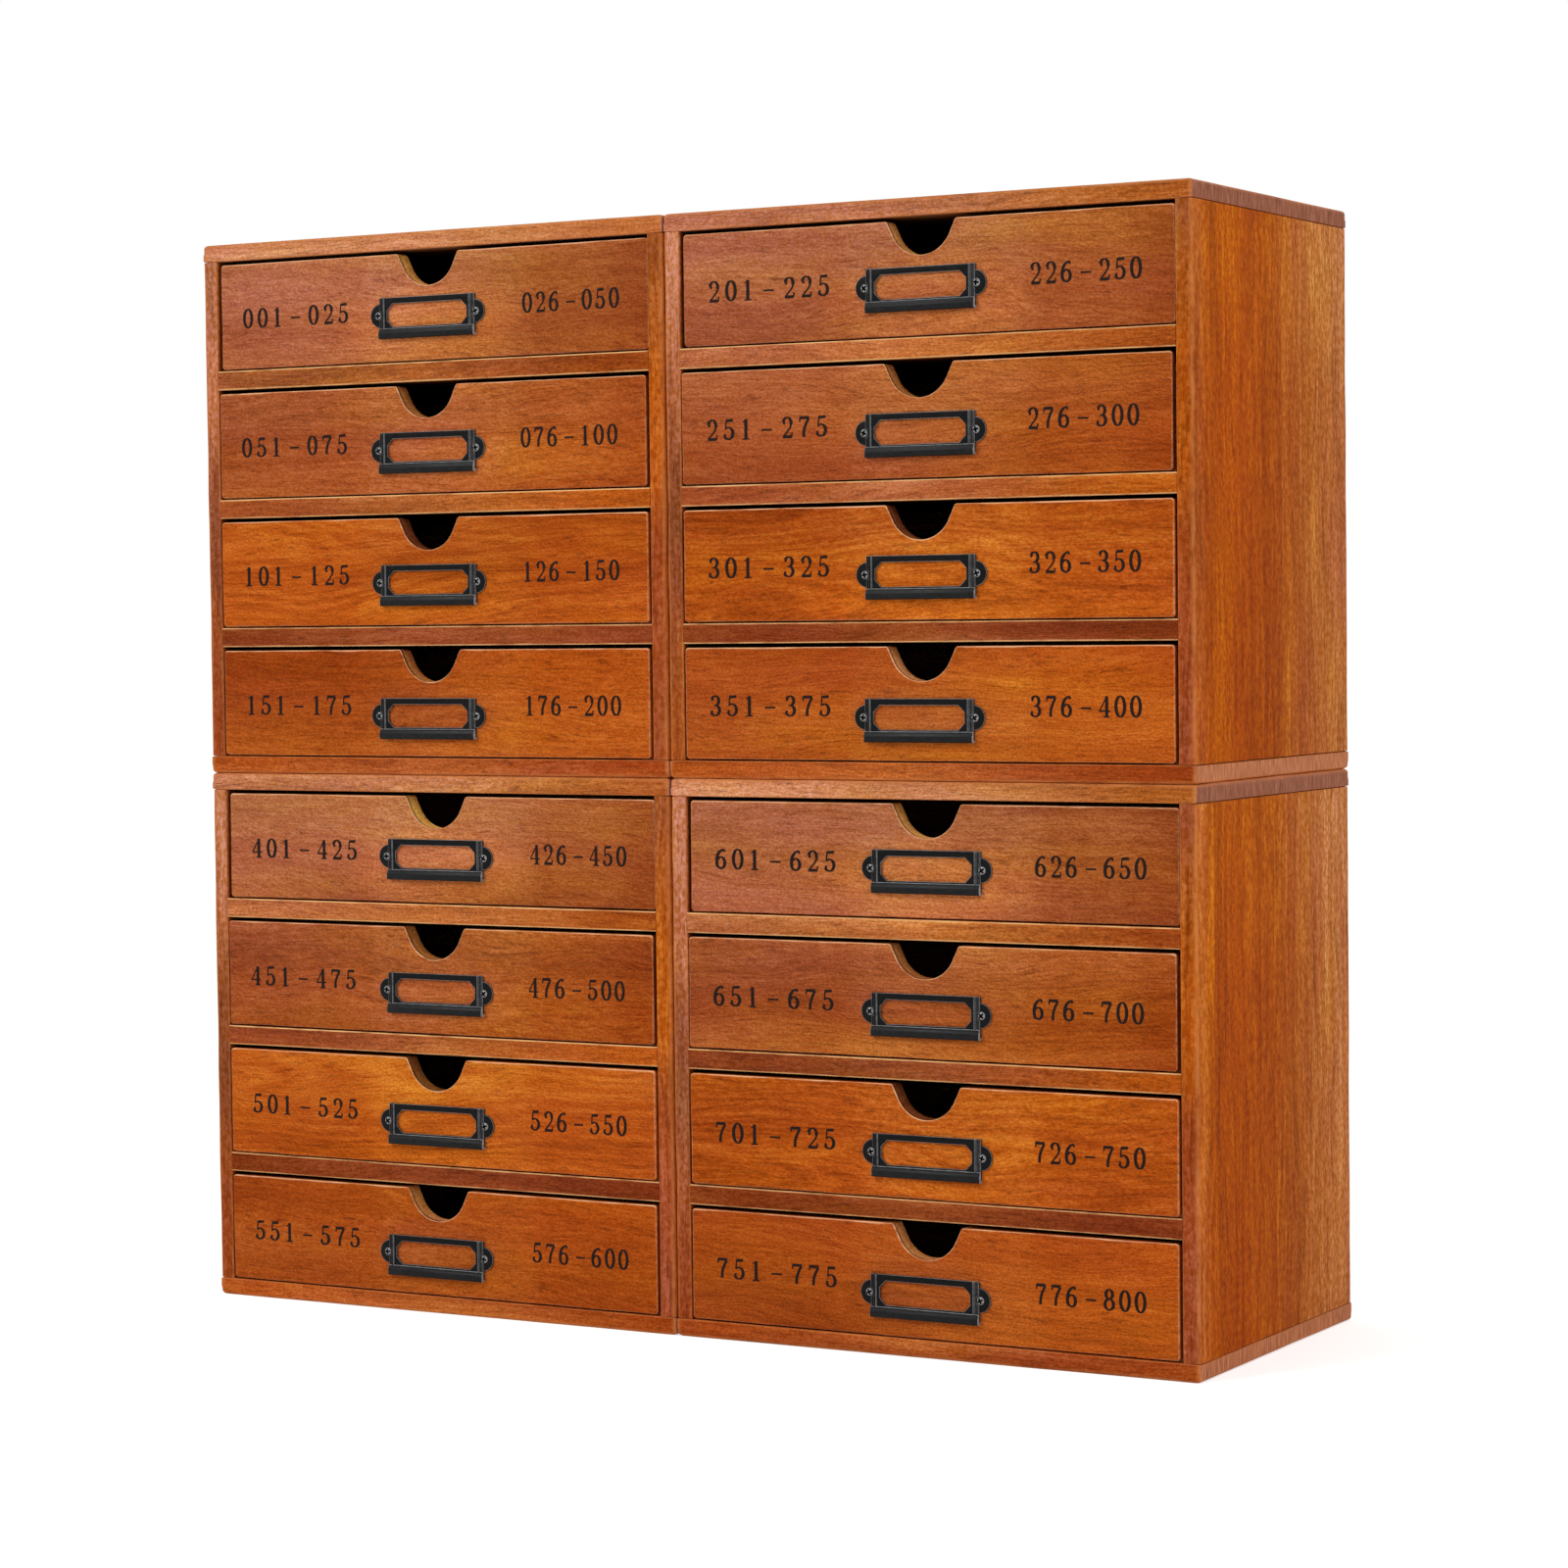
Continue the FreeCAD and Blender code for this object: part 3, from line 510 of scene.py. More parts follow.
def case_sides(low, high, seed):
    """The two upright sides of a cabinet's case."""
    opening = (high.z - low.z - 2 * BOARD - SHELVES * SHELF_BOARD) / (SHELVES + 1)
    rabbet_front = high.y - BACK_PANEL
    made = []
    for right in (False, True):
        side_low = high.x - BOARD if right else low.x
        inner = side_low if right else side_low + BOARD
        dado = sorted((inner, inner + (DADO if right else -DADO)))
        rabbet = sorted((inner, inner + (BACK_MARGIN if right else -BACK_MARGIN)))
        cuts = [((rabbet[0], rabbet_front, low.z), (rabbet[1], high.y + MM, high.z))]
        for shelf in range(1, SHELVES + 1):
            under = low.z + BOARD + shelf * opening + (shelf - 1) * SHELF_BOARD
            cuts.append(((dado[0], low.y + DADO_STOP, under),
                         (dado[1], rabbet_front, under + SHELF_BOARD)))
        ends = (OPENING_ROUND, CORNER_ROUND) if right else (CORNER_ROUND, OPENING_ROUND)
        board = carved_board(
            (side_low, low.y, low.z + BOARD), (side_low + BOARD, high.y, high.z - BOARD),
            cuts, (ends, (by_half(0, side_low + BOARD / 2, *ends),) * 2,
                   (JOINT_ROUND, JOINT_ROUND)),
            CASE_MESH[::-1], "zyx", seed + 2 + right, hidden_faces(0, inner), SIDE_TINT)
        made.append(tinted_edge(board, low.y, RIGHT_EDGE if right else LEFT_EDGE))
    return made


for number, cabinet in enumerate(cabinets):
    low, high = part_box(cabinet + "_case")
    seed = 1.37 + number * 5.3
    for made in (finished_object(cabinet + "_ends", case_ends(low, high, seed), case_wood),
                 finished_object(cabinet + "_sides", case_sides(low, high, seed), side_wood)):
        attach(made, "cabinets")
        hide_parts(cabinet + "_case")

# ---- 2. The shelves ------------------------------------------------------------------------------
# Three nine millimetre boards, let into dadoes that stop short of the front, so that only their
# long front edges show between the drawers.

SHELF_EDGES = (((40, (0.60, 0.49, 0.8)), (120, (0.82, 0.82, 1.8)), (220, (0.62, 0.50, 0.9))),
               ((40, (0.84, 0.80, 1.8)), (120, (1.12, 1.38, 3.0)), (220, (1.28, 1.24, 0.9))),
               ((40, (1.20, 1.58, 4.2)), (120, (1.45, 2.00, 3.8)), (220, (0.96, 0.90, 0.9))))
# The rails' edges take the palest edge colour most strongly: worn stain and a painted highlight
# line.
shelf_wood = stained_wood("shelf_wood", CASE_TONES, rubbed_and_lit=stain(240, 188, 126), wear_and_highlight=1.15)


def shelf_boards(low, high, seed):
    """The three shelves of a cabinet, from the corners of the box round them."""
    pitch = (high.z - low.z - SHELF_BOARD) / (SHELVES - 1)
    made = []
    for shelf in range(SHELVES):
        under = low.z + shelf * pitch
        cuts = [((low.x - MM, low.y - MM, under), (low.x + DADO, low.y + DADO_STOP, high.z)),
                ((high.x - DADO, low.y - MM, under), (high.x + MM, low.y + DADO_STOP, high.z))]
        board = carved_board(
            (low.x, low.y, under), (high.x, high.y, under + SHELF_BOARD), cuts,
            ((JOINT_ROUND, JOINT_ROUND), (OPENING_ROUND, JOINT_ROUND),
             (OPENING_ROUND, OPENING_ROUND)),
            CASE_MESH, "xyz", seed + shelf * 0.71, hidden_faces(2, under, under + SHELF_BOARD))
        made.append(tinted_edge(board, low.y, SHELF_EDGES[shelf]))
    return made


for number, cabinet in enumerate(cabinets):
    low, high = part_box(cabinet + "_shelves")
    shelves = finished_object(cabinet + "_shelf_boards",
                              shelf_boards(low, high, 2.11 + number * 3.7), shelf_wood)
    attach(shelves, "cabinets")
    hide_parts(cabinet + "_shelves")

# ---- 3. The back panels --------------------------------------------------------------------------
# Three millimetre plywood, thinly stained, set a hair below the backs of the boards that hold it
# and pinned all round with small flat-headed nails.

PANEL_SET_BACK = 0.3 * MM
PANEL_MESH = (24 * MM, 3 * MM, 24 * MM)
panel_wood = stained_wood("panel_wood", (stain(120, 74, 40), stain(172, 120, 74),
                                         stain(198, 148, 98), stain(98, 60, 34)),
                          flame=0.09, bands=0.6)

for number, cabinet in enumerate(cabinets):
    low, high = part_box(cabinet + "_back_panel")
    board = carved_board(low, (high.x, high.y - PANEL_SET_BACK, high.z), [],
                         ((JOINT_ROUND,) * 2,) * 3, PANEL_MESH, "zxy", 3.3 + number * 2.9)
    panel = finished_object(cabinet + "_rear_panel", [board], panel_wood)
    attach(panel, "cabinets")
    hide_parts(cabinet + "_back_panel")

# The nails stand a little off their line, with their heads level with the boards round the panel.

NAIL_INSET = 5 * MM
NAIL_HEAD = 1.5 * MM
NAIL_SINK = 0.34 * NAIL_HEAD
NAIL_FLATNESS = 0.32
NAIL_WANDER = 0.9 * MM
NAILS = 26


def node_tree(name, inputs):
    """An empty Geometry Nodes tree with its named inputs and one geometry output."""
    tree = bpy.data.node_groups.new(name, "GeometryNodeTree")
    tree.interface.new_socket("Geometry", in_out="INPUT", socket_type="NodeSocketGeometry")
    for label, kind in inputs:
        tree.interface.new_socket(label, in_out="INPUT", socket_type="NodeSocket" + kind)
    tree.interface.new_socket("Geometry", in_out="OUTPUT", socket_type="NodeSocketGeometry")
    return tree, tree.nodes.new("NodeGroupInput"), tree.nodes.new("NodeGroupOutput")


def step(tree, kind, feeds, **settings):
    """Adds one node to a Geometry Nodes tree and joins or sets its inputs."""
    node = tree.nodes.new(kind)
    for key, value in settings.items():
        setattr(node, key, value)
    for socket, value in feeds.items():
        target = node.inputs[socket]
        for part in value if isinstance(value, list) else [value]:
            if isinstance(part, bpy.types.NodeSocket):
                tree.links.new(part, target)
            else:
                target.default_value = part
    return node


def grown(name, tree, values, smooth_below=None):
    """Runs a tree on an empty mesh with the given inputs and keeps the plain mesh it makes."""
    seedling = placed(name + "_tree", bpy.data.meshes.new(name + "_start"))
    modifier = seedling.modifiers.new("tree", "NODES")
    modifier.node_group = tree
    for item in tree.interface.items_tree:
        if item.item_type == "SOCKET" and item.in_out == "INPUT" and item.name in values:
            modifier[item.identifier] = values[item.name]
    view_layer = bpy.context.evaluated_depsgraph_get()
    mesh = bpy.data.meshes.new_from_object(seedling.evaluated_get(view_layer))
    seedling.modifiers.remove(modifier)
    bpy.data.objects.remove(seedling)
    mesh.name = name
    return placed(name, mesh, smooth_below)


recipe = Recipe("nail_steel")
rust = recipe.noise(recipe.spot(), (420, 420, 420), 4.0, 0.6)
nail_steel = recipe.coat({
    "Base Color": recipe.ramp(rust, [(0.35, (0.20, 0.19, 0.18)), (0.7, (0.42, 0.40, 0.37))]),
    "Roughness": recipe.spread(rust, 0.2, 0.8, 0.28, 0.6), "Metallic": 1.0})

tree, given, result = node_tree("nailing", [("Width", "Float"), ("Height", "Float"),
                                            ("Nails", "Int"), ("Head radius", "Float"),
                                            ("Middle", "Vector"), ("Steel", "Material")])
frame_line = step(tree, "GeometryNodeCurvePrimitiveQuadrilateral",
                  {"Width": given.outputs["Width"], "Height": given.outputs["Height"]})
standing = step(tree, "GeometryNodeTransform", {"Geometry": frame_line.outputs[0],
                                                "Translation": given.outputs["Middle"],
                                                "Rotation": (math.radians(90), 0, 0)})
nail_points = step(tree, "GeometryNodeCurveToPoints", {"Curve": standing.outputs[0],
                                                       "Count": given.outputs["Nails"]})
head_disc = step(tree, "GeometryNodeMeshUVSphere", {"Segments": 12, "Rings": 6,
                                                    "Radius": given.outputs["Head radius"]})
flat_head = step(tree, "GeometryNodeTransform", {"Geometry": head_disc.outputs[0],
                                                 "Scale": (1, 1, NAIL_FLATNESS),
                                                 "Rotation": (math.radians(90), 0, 0)})
wobble = step(tree, "FunctionNodeRandomValue", {
    "Seed": 11, "Min": (-NAIL_WANDER, 0, -NAIL_WANDER), "Max": (NAIL_WANDER, 0, NAIL_WANDER)},
    data_type="FLOAT_VECTOR")
nudged = step(tree, "GeometryNodeSetPosition", {"Geometry": nail_points.outputs[0],
                                                "Offset": wobble.outputs[0]})
nails = step(tree, "GeometryNodeInstanceOnPoints", {"Points": nudged.outputs[0],
                                                    "Instance": flat_head.outputs[0]})
real = step(tree, "GeometryNodeRealizeInstances", {"Geometry": nails.outputs[0]})
smooth = step(tree, "GeometryNodeSetShadeSmooth", {"Geometry": real.outputs[0]})
dressed = step(tree, "GeometryNodeSetMaterial", {"Geometry": smooth.outputs[0],
                                                 "Material": given.outputs["Steel"]})
tree.links.new(dressed.outputs[0], result.inputs[0])

for cabinet in cabinets:
    low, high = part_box(cabinet + "_back_panel")
    nails = grown(cabinet + "_nails", tree, {
        "Width": high.x - low.x - 2 * NAIL_INSET, "Height": high.z - low.z - 2 * NAIL_INSET,
        "Nails": NAILS, "Head radius": NAIL_HEAD,
        "Middle": (0.5 * (low.x + high.x), high.y - NAIL_SINK, 0.5 * (low.z + high.z)),
        "Steel": nail_steel})
    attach(nails, "cabinets")

# ---- 4. The drawer boxes -------------------------------------------------------------------------
# Six millimetre sides let into the front, a back let into the sides, and a plywood bottom in a
# groove. The wood carries one thin coat of stain.

DRAWER_BOARD = 6 * MM
HOUSING = 3 * MM
DRAWER_BOTTOM = 2.5 * MM
BOTTOM_LIFT = 3 * MM
BACK_INSET = 4 * MM
FRONT_BOARD = 8 * MM
FRONT_LIP = 3 * MM
WALL_ROUND = 0.8 * MM
SIDE_MESH, REAR_MESH = (3 * MM, 20 * MM, 10 * MM), (20 * MM, 3 * MM, 10 * MM)
BOTTOM_MESH = (24 * MM, 24 * MM, 3 * MM)
drawers = sorted(node[:-len("_box")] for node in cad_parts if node.endswith("_box"))
box_wood = stained_wood("box_wood", (stain(122, 70, 36), stain(176, 116, 66), stain(202, 144, 92),
                                     stain(96, 54, 28)))


def drawer_boards(low, high, seed):
    """The sides, back and bottom of one drawer, from the corners of the box round them."""
    rear = high.y - BACK_INSET
    groove_low, groove_high = low.z + BOTTOM_LIFT, low.z + BOTTOM_LIFT + DRAWER_BOTTOM
    made = []
    for right in (False, True):
        wall = high.x - DRAWER_BOARD if right else low.x
        inner = wall if right else wall + DRAWER_BOARD
        housing = sorted((inner, inner + (HOUSING if right else -HOUSING)))
        cuts = [((housing[0], low.y - MM, groove_low), (housing[1], high.y + MM, groove_high)),
                ((housing[0], rear - DRAWER_BOARD, groove_high), (housing[1], rear, high.z + MM))]
        made.append(carved_board(
            (wall, low.y, low.z), (wall + DRAWER_BOARD, high.y, high.z), cuts,
            ((JOINT_ROUND, JOINT_ROUND), (JOINT_ROUND, WALL_ROUND), (JOINT_ROUND, WALL_ROUND)),
            SIDE_MESH, "yzx", seed + right))
    made.append(carved_board(
        (low.x + DRAWER_BOARD - HOUSING, rear - DRAWER_BOARD, groove_high),
        (high.x - DRAWER_BOARD + HOUSING, rear, high.z), [],
        ((JOINT_ROUND,) * 2, (JOINT_ROUND,) * 2, (JOINT_ROUND, WALL_ROUND)),
        REAR_MESH, "xzy", seed + 2))
    made.append(carved_board(
        (low.x + DRAWER_BOARD - HOUSING, low.y + FRONT_BOARD - FRONT_LIP, groove_low),
        (high.x - DRAWER_BOARD + HOUSING, high.y, groove_high), [],
        ((JOINT_ROUND,) * 2,) * 3, BOTTOM_MESH, "xyz", seed + 3))
    return made


for number, drawer in enumerate(drawers):
    low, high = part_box(drawer + "_box")
    box = finished_object(drawer + "_walls", drawer_boards(low, high, 0.83 + number * 4.1),
                          box_wood)
    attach(box, drawer)
    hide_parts(drawer + "_box")

# ---- 5. The drawer fronts ------------------------------------------------------------------------
# Eight millimetre boards with a finger notch bored on the top edge. Every row came from a different
# plank, and the arrises have been sanded by hand, so their rounding wanders. The top two rows'
# paler, pinker tones and their paler upper parts are partly a painted sheen of the light from above.

FRONT_CORNER = 1.5 * MM
NOTCH = 15 * MM
NOTCH_MOUTH = 16.6 * MM
SHOULDER = 1.5 * MM
FOOT_GAP = 0.25 * MM
# An arris is between these two wide, wandering so many times along a metre, narrower in the notch.
ARRIS = (0.45 * MM, 1.0 * MM)
ARRIS_STEPS = (0, 14, 30, 45, 60, 76, 90)
ARRIS_CLOUDS, NOTCH_ARRIS = 55, 0.7
NOTCH_STEPS = 36
RUN_SPACING, NOTCH_SPACING = 5 * MM, 1.5 * MM
# The front's faces are darkened as painted shade, from the first depth behind its face over the
# second.
SHADE_START, SHADE_REACH = 1.2 * MM, 4 * MM

PALE_MIDDLE = [(0, 76, 94, PLAIN, (1.09, 1.23, 1.4)), (0, 162, 180, PLAIN, (0.92, 0.81, 0.71))]
DARK_END = [(0, 205, 232, PLAIN, (0.86, 0.74, 0.68))]
NOTCH_WALLS = {1: (2.2, 3.0, 1.9), 2: (1.45, 1.85, 1.7), 3: (0.55, 0.66, 1.6), 4: (1.9, 3.5, 7.5)}
# A dark line is drawn in the notch where its wall leaves the arris, and faintly just behind.
NOTCH_LINE, NOTCH_LINE_BEHIND = {76: 0.7, 90: 1.0}, [0.2, 0.0, 0.0, 0.0]
# The fronts' pale arris colour: worn stain and a painted highlight.
FRONT_RUBBED_AND_LIT = stain(240, 184, 138)
front_woods = {
    1: stained_wood(
        "front_wood_row_1",
        (stain(124, 52, 24), stain(168, 90, 50), stain(202, 126, 74), stain(92, 42, 22)),
        slant=0.03, bands=0.5, streaks=0.7, rubbed_and_lit=FRONT_RUBBED_AND_LIT,
        shade=[(0, 20, 205, (1.09, 1.16, 1.5), (0.93, 0.85, 0.6)),
               # Paler towards the top: painted sheen of the light from above.
               (1, 14, 42, PLAIN, (1.02, 1.13, 1.25))] + PALE_MIDDLE + DARK_END,
        paled=[(122, 15, 48, 20, (1.24, 1.24, 1.12))]),
    2: stained_wood(
        "front_wood_row_2",
        (stain(106, 40, 10), stain(166, 80, 30), stain(202, 116, 54), stain(76, 32, 14)),
        bands=0.6, streaks=0.7, rubbed_and_lit=FRONT_RUBBED_AND_LIT,
        shade=[(0, 30, 205, (0.90, 0.88, 1.12), (1.03, 0.98, 0.7)),
               # Paler towards the top: painted sheen of the light from above.
               (1, 14, 42, (0.97, 0.95, 1.0), (1.08, 1.27, 1.95))] + PALE_MIDDLE + DARK_END,
        paled=[(120, 18, 42, 16, (1.09, 1.14, 1.45))]),
    3: stained_wood(
        "front_wood_row_3",
        (stain(122, 46, 8), stain(180, 82, 20), stain(214, 120, 40), stain(84, 34, 10)),
        flame=0.07, rings=0.14, slant=-0.05, bands=0.6, rubbed_and_lit=FRONT_RUBBED_AND_LIT,
        shade=[(1, 8, 26, (1.05, 1.07, 1.25), (0.96, 0.94, 1.0)),
               (1, 26, 42, PLAIN, (1.02, 1.06, 1.15))] + PALE_MIDDLE,
        paled=[(110, 6, 50, 12, (1.15, 1.20, 1.10))]),
    4: stained_wood(
        "front_wood_row_4",
        (stain(120, 50, 10), stain(174, 82, 22), stain(206, 116, 40), stain(78, 32, 10)),
        slant=0.02, bands=0.5, streaks=0.7, ripple=0.06, rubbed_and_lit=FRONT_RUBBED_AND_LIT,
        shade=[(0, 30, 205, (0.92, 0.88, 1.3), (1.09, 1.10, 1.2)),
               (1, 14, 42, PLAIN, (0.92, 0.80, 0.75))] + PALE_MIDDLE,
        paled=[(118, 20, 34, 14, (0.93, 0.94, 1.4))]),
}


def arc(across, up, radius, start, end, count=6):
    """Points round part of a circle and the way each faces from its middle, angles in degrees."""
    angles = [math.radians(start + (end - start) * part / count) for part in range(count + 1)]
    return [(across + radius * math.cos(angle), up + radius * math.sin(angle),
             math.cos(angle), math.sin(angle)) for angle in angles]


def run_between(start, end, facing, spacing=RUN_SPACING):
    """Evenly spaced points strictly between two ends of a straight run."""
    count = max(2, round(math.dist(start, end) / spacing))
    return [(start[0] + (end[0] - start[0]) * part / count,
             start[1] + (end[1] - start[1]) * part / count, *facing) for part in range(1, count)]


def front_outline(half_width, foot, top):
    """The outline of a drawer front, anticlockwise from its lower left corner, with its outward
    direction at every point. The notch's sides leave its circle at a tangent towards its mouth."""
    lean = math.acos(NOTCH / NOTCH_MOUTH)
    turn = math.degrees(lean)
    spread = SHOULDER * (1 - math.sin(lean)) / math.cos(lean)
    reach = NOTCH_MOUTH + spread
    eased = (NOTCH_MOUTH - spread * math.sin(lean), top - spread * math.cos(lean))
    leaving = (NOTCH * math.cos(lean), top - NOTCH * math.sin(lean))
    corner = FRONT_CORNER
    line = arc(-half_width + corner, foot + corner, corner, 180, 270)
    line += run_between((-half_width + corner, foot), (half_width - corner, foot), (0, -1))
    line += arc(half_width - corner, foot + corner, corner, 270, 360)
    line += run_between((half_width, foot + corner), (half_width, top - corner), (1, 0))
    line += arc(half_width - corner, top - corner, corner, 0, 90)
    line += run_between((half_width - corner, top), (reach, top), (0, 1))
    line += arc(reach, top - SHOULDER, SHOULDER, 90, 180 - turn)
    line += run_between(eased, leaving, (-math.cos(lean), math.sin(lean)), NOTCH_SPACING)
    line += [(x, z, -out_x, -out_z) for x, z, out_x, out_z
             in arc(0, top, NOTCH, -turn, turn - 180, NOTCH_STEPS)]
    line += run_between((-leaving[0], leaving[1]), (-eased[0], eased[1]),
                        (math.cos(lean), math.sin(lean)), NOTCH_SPACING)
    line += arc(-reach, top - SHOULDER, SHOULDER, turn, 90)
    line += run_between((-reach, top), (-half_width + corner, top), (0, 1))
    line += arc(-half_width + corner, top - corner, corner, 90, 180)
    line += run_between((-half_width, top - corner), (-half_width, foot + corner), (-1, 0))
    return line


def front_board(middle, face, foot, top, half_width, seed, notch_wall):
    """A drawer front as points, faces and finish, in the same form as a carved board."""
    line = np.array(front_outline(half_width, foot, top))
    count = len(line)
    wander = np.array([noise.noise(Vector((x * ARRIS_CLOUDS, z * ARRIS_CLOUDS, seed)))
                       for x, z, *_ in line])
    arris = ARRIS[0] + (ARRIS[1] - ARRIS[0]) * np.clip(0.5 + 1.1 * wander, 0, 1)
    in_notch = np.hypot(line[:, 0], line[:, 1] - top) < NOTCH_MOUTH + SHOULDER
    arris[in_notch] *= NOTCH_ARRIS
    # The pale arris colour is strongest on the top edge and in the notch and weakest at the foot:
    # stain worn by hands, and a painted highlight where the light from above falls.
    paled = np.where(in_notch | (line[:, 3] > 0.3), 1.3, np.where(line[:, 3] < -0.3, 0.25, 0.5))
    rings, wear_and_highlight = [], []
    for degrees in ARRIS_STEPS:
        angle = math.radians(degrees)
        inset = arris * (1 - math.sin(angle))
        depth = arris * (1 - math.cos(angle))
        rings.append((line[:, 0] - line[:, 2] * inset, depth, line[:, 1] - line[:, 3] * inset))
        wear_and_highlight.append(paled * math.sin(2 * angle) ** 2)
    stepped = np.clip(line[:, 0], -half_width + DRAWER_BOARD, half_width - DRAWER_BOARD)
    for across, depth in ((line[:, 0], 0.5 * FRONT_LIP + 0.5 * MM), (line[:, 0], FRONT_LIP),
                          (stepped, FRONT_LIP), (stepped, FRONT_BOARD)):
        rings.append((across, np.full(count, depth), line[:, 1]))
        wear_and_highlight.append(np.zeros(count))
    points = np.concatenate([np.stack([ring[0] + middle, ring[1] + face, ring[2]], axis=1)
                             for ring in rings])
    faces = [list(range(count))]
    for ring in range(len(rings) - 1):
        for index in range(count):
            following = (index + 1) % count
            faces.append([ring * count + following, ring * count + index,
                          (ring + 1) * count + index, (ring + 1) * count + following])
    faces.append([(len(rings) - 1) * count + index for index in reversed(range(count))])
    depth = points[:, 1] - face
    in_notch = np.tile(in_notch, len(rings))
    # Painted shade darkens the front's edges and back behind its face, but not in the notch, where a
    # thin dark line is drawn at the foot of the arris instead.
    shade_and_notch_line = np.clip((depth - SHADE_START) / SHADE_REACH, 0, 1) * ~in_notch
    notch_line = [NOTCH_LINE.get(degrees, 0.0) for degrees in ARRIS_STEPS] + NOTCH_LINE_BEHIND
    shade_and_notch_line += np.repeat(notch_line, count) * in_notch
    bored = np.where(in_notch & (depth > 0.9 * ARRIS[0]), 1.0, 0.0)
    return {
        "points": points, "faces": faces,
        "grain": np.stack([points[:, 0] - middle + half_width, points[:, 2] - foot, depth], axis=1),
        "finish": np.stack([np.concatenate(wear_and_highlight), np.zeros(len(points)), shade_and_notch_line], axis=1),
        "seed": np.full(len(points), seed),
        "tint": 1 + np.outer(bored, np.array(notch_wall) - 1),
    }


for number, drawer in enumerate(drawers):
    low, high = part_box(drawer + "_front")
    row = int(drawer[-1])
    board = front_board(0.5 * (low.x + high.x), low.y, low.z + FOOT_GAP, high.z,
                        0.5 * (high.x - low.x), 1.9 + number * 2.37, NOTCH_WALLS[row])
    front = finished_object(drawer + "_face", [board], front_woods[row])
    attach(front, drawer)
    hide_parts(drawer + "_front")

# ---- 6. The numbers ------------------------------------------------------------------------------
# Each drawer says which numbers it holds, in old-fashioned upright figures with thick and thin
# strokes, stamped in near-black ink that has worn a little on the wood.

FIGURE_HEIGHT = 9.2 * MM
THICK, THIN = 0.165, 0.07
FIGURE_WIDTH, FIGURE_ADVANCE, DASH_ADVANCE = 0.61, 0.83, 1.2
DOT_POINTS = 16
# Points of a figure nearer than this part of its height are one point.
INK_RUNS_OVER = 1e-5
INK = 0.07 * MM
NUMBER_MIDDLES = (-75.2 * MM, 77.5 * MM)
NUMBER_SPREADS = (1.12, 0.94)
NUMBER_HEIGHT = 23.9 * MM
PER_BLOCK = 25


def bow(across, up, reach, rise, start, end, count=14):
    """Points round part of an oval, angles in degrees."""
    angles = [math.radians(start + (end - start) * part / count) for part in range(count + 1)]
    return [(across + reach * math.cos(angle), up + rise * math.sin(angle)) for angle in angles]


def curve(*points, count=16):
    """A smooth line through a few points, as a draughtsman's spline would bend."""
    points = [Vector(point) for point in points]
    ends = [points[0] * 2 - points[1]] + points + [points[-1] * 2 - points[-2]]
    line = []
    for part in range(count + 1):
        place = part / count * (len(points) - 1)
        index = min(int(place), len(points) - 2)
        t = place - index
        a, b, c, d = ends[index:index + 4]
        line.append(tuple(0.5 * (2 * b + (c - a) * t + (2 * a - 5 * b + 4 * c - d) * t * t
                                 + (3 * b - a - 3 * c + d) * t ** 3)))
    return line


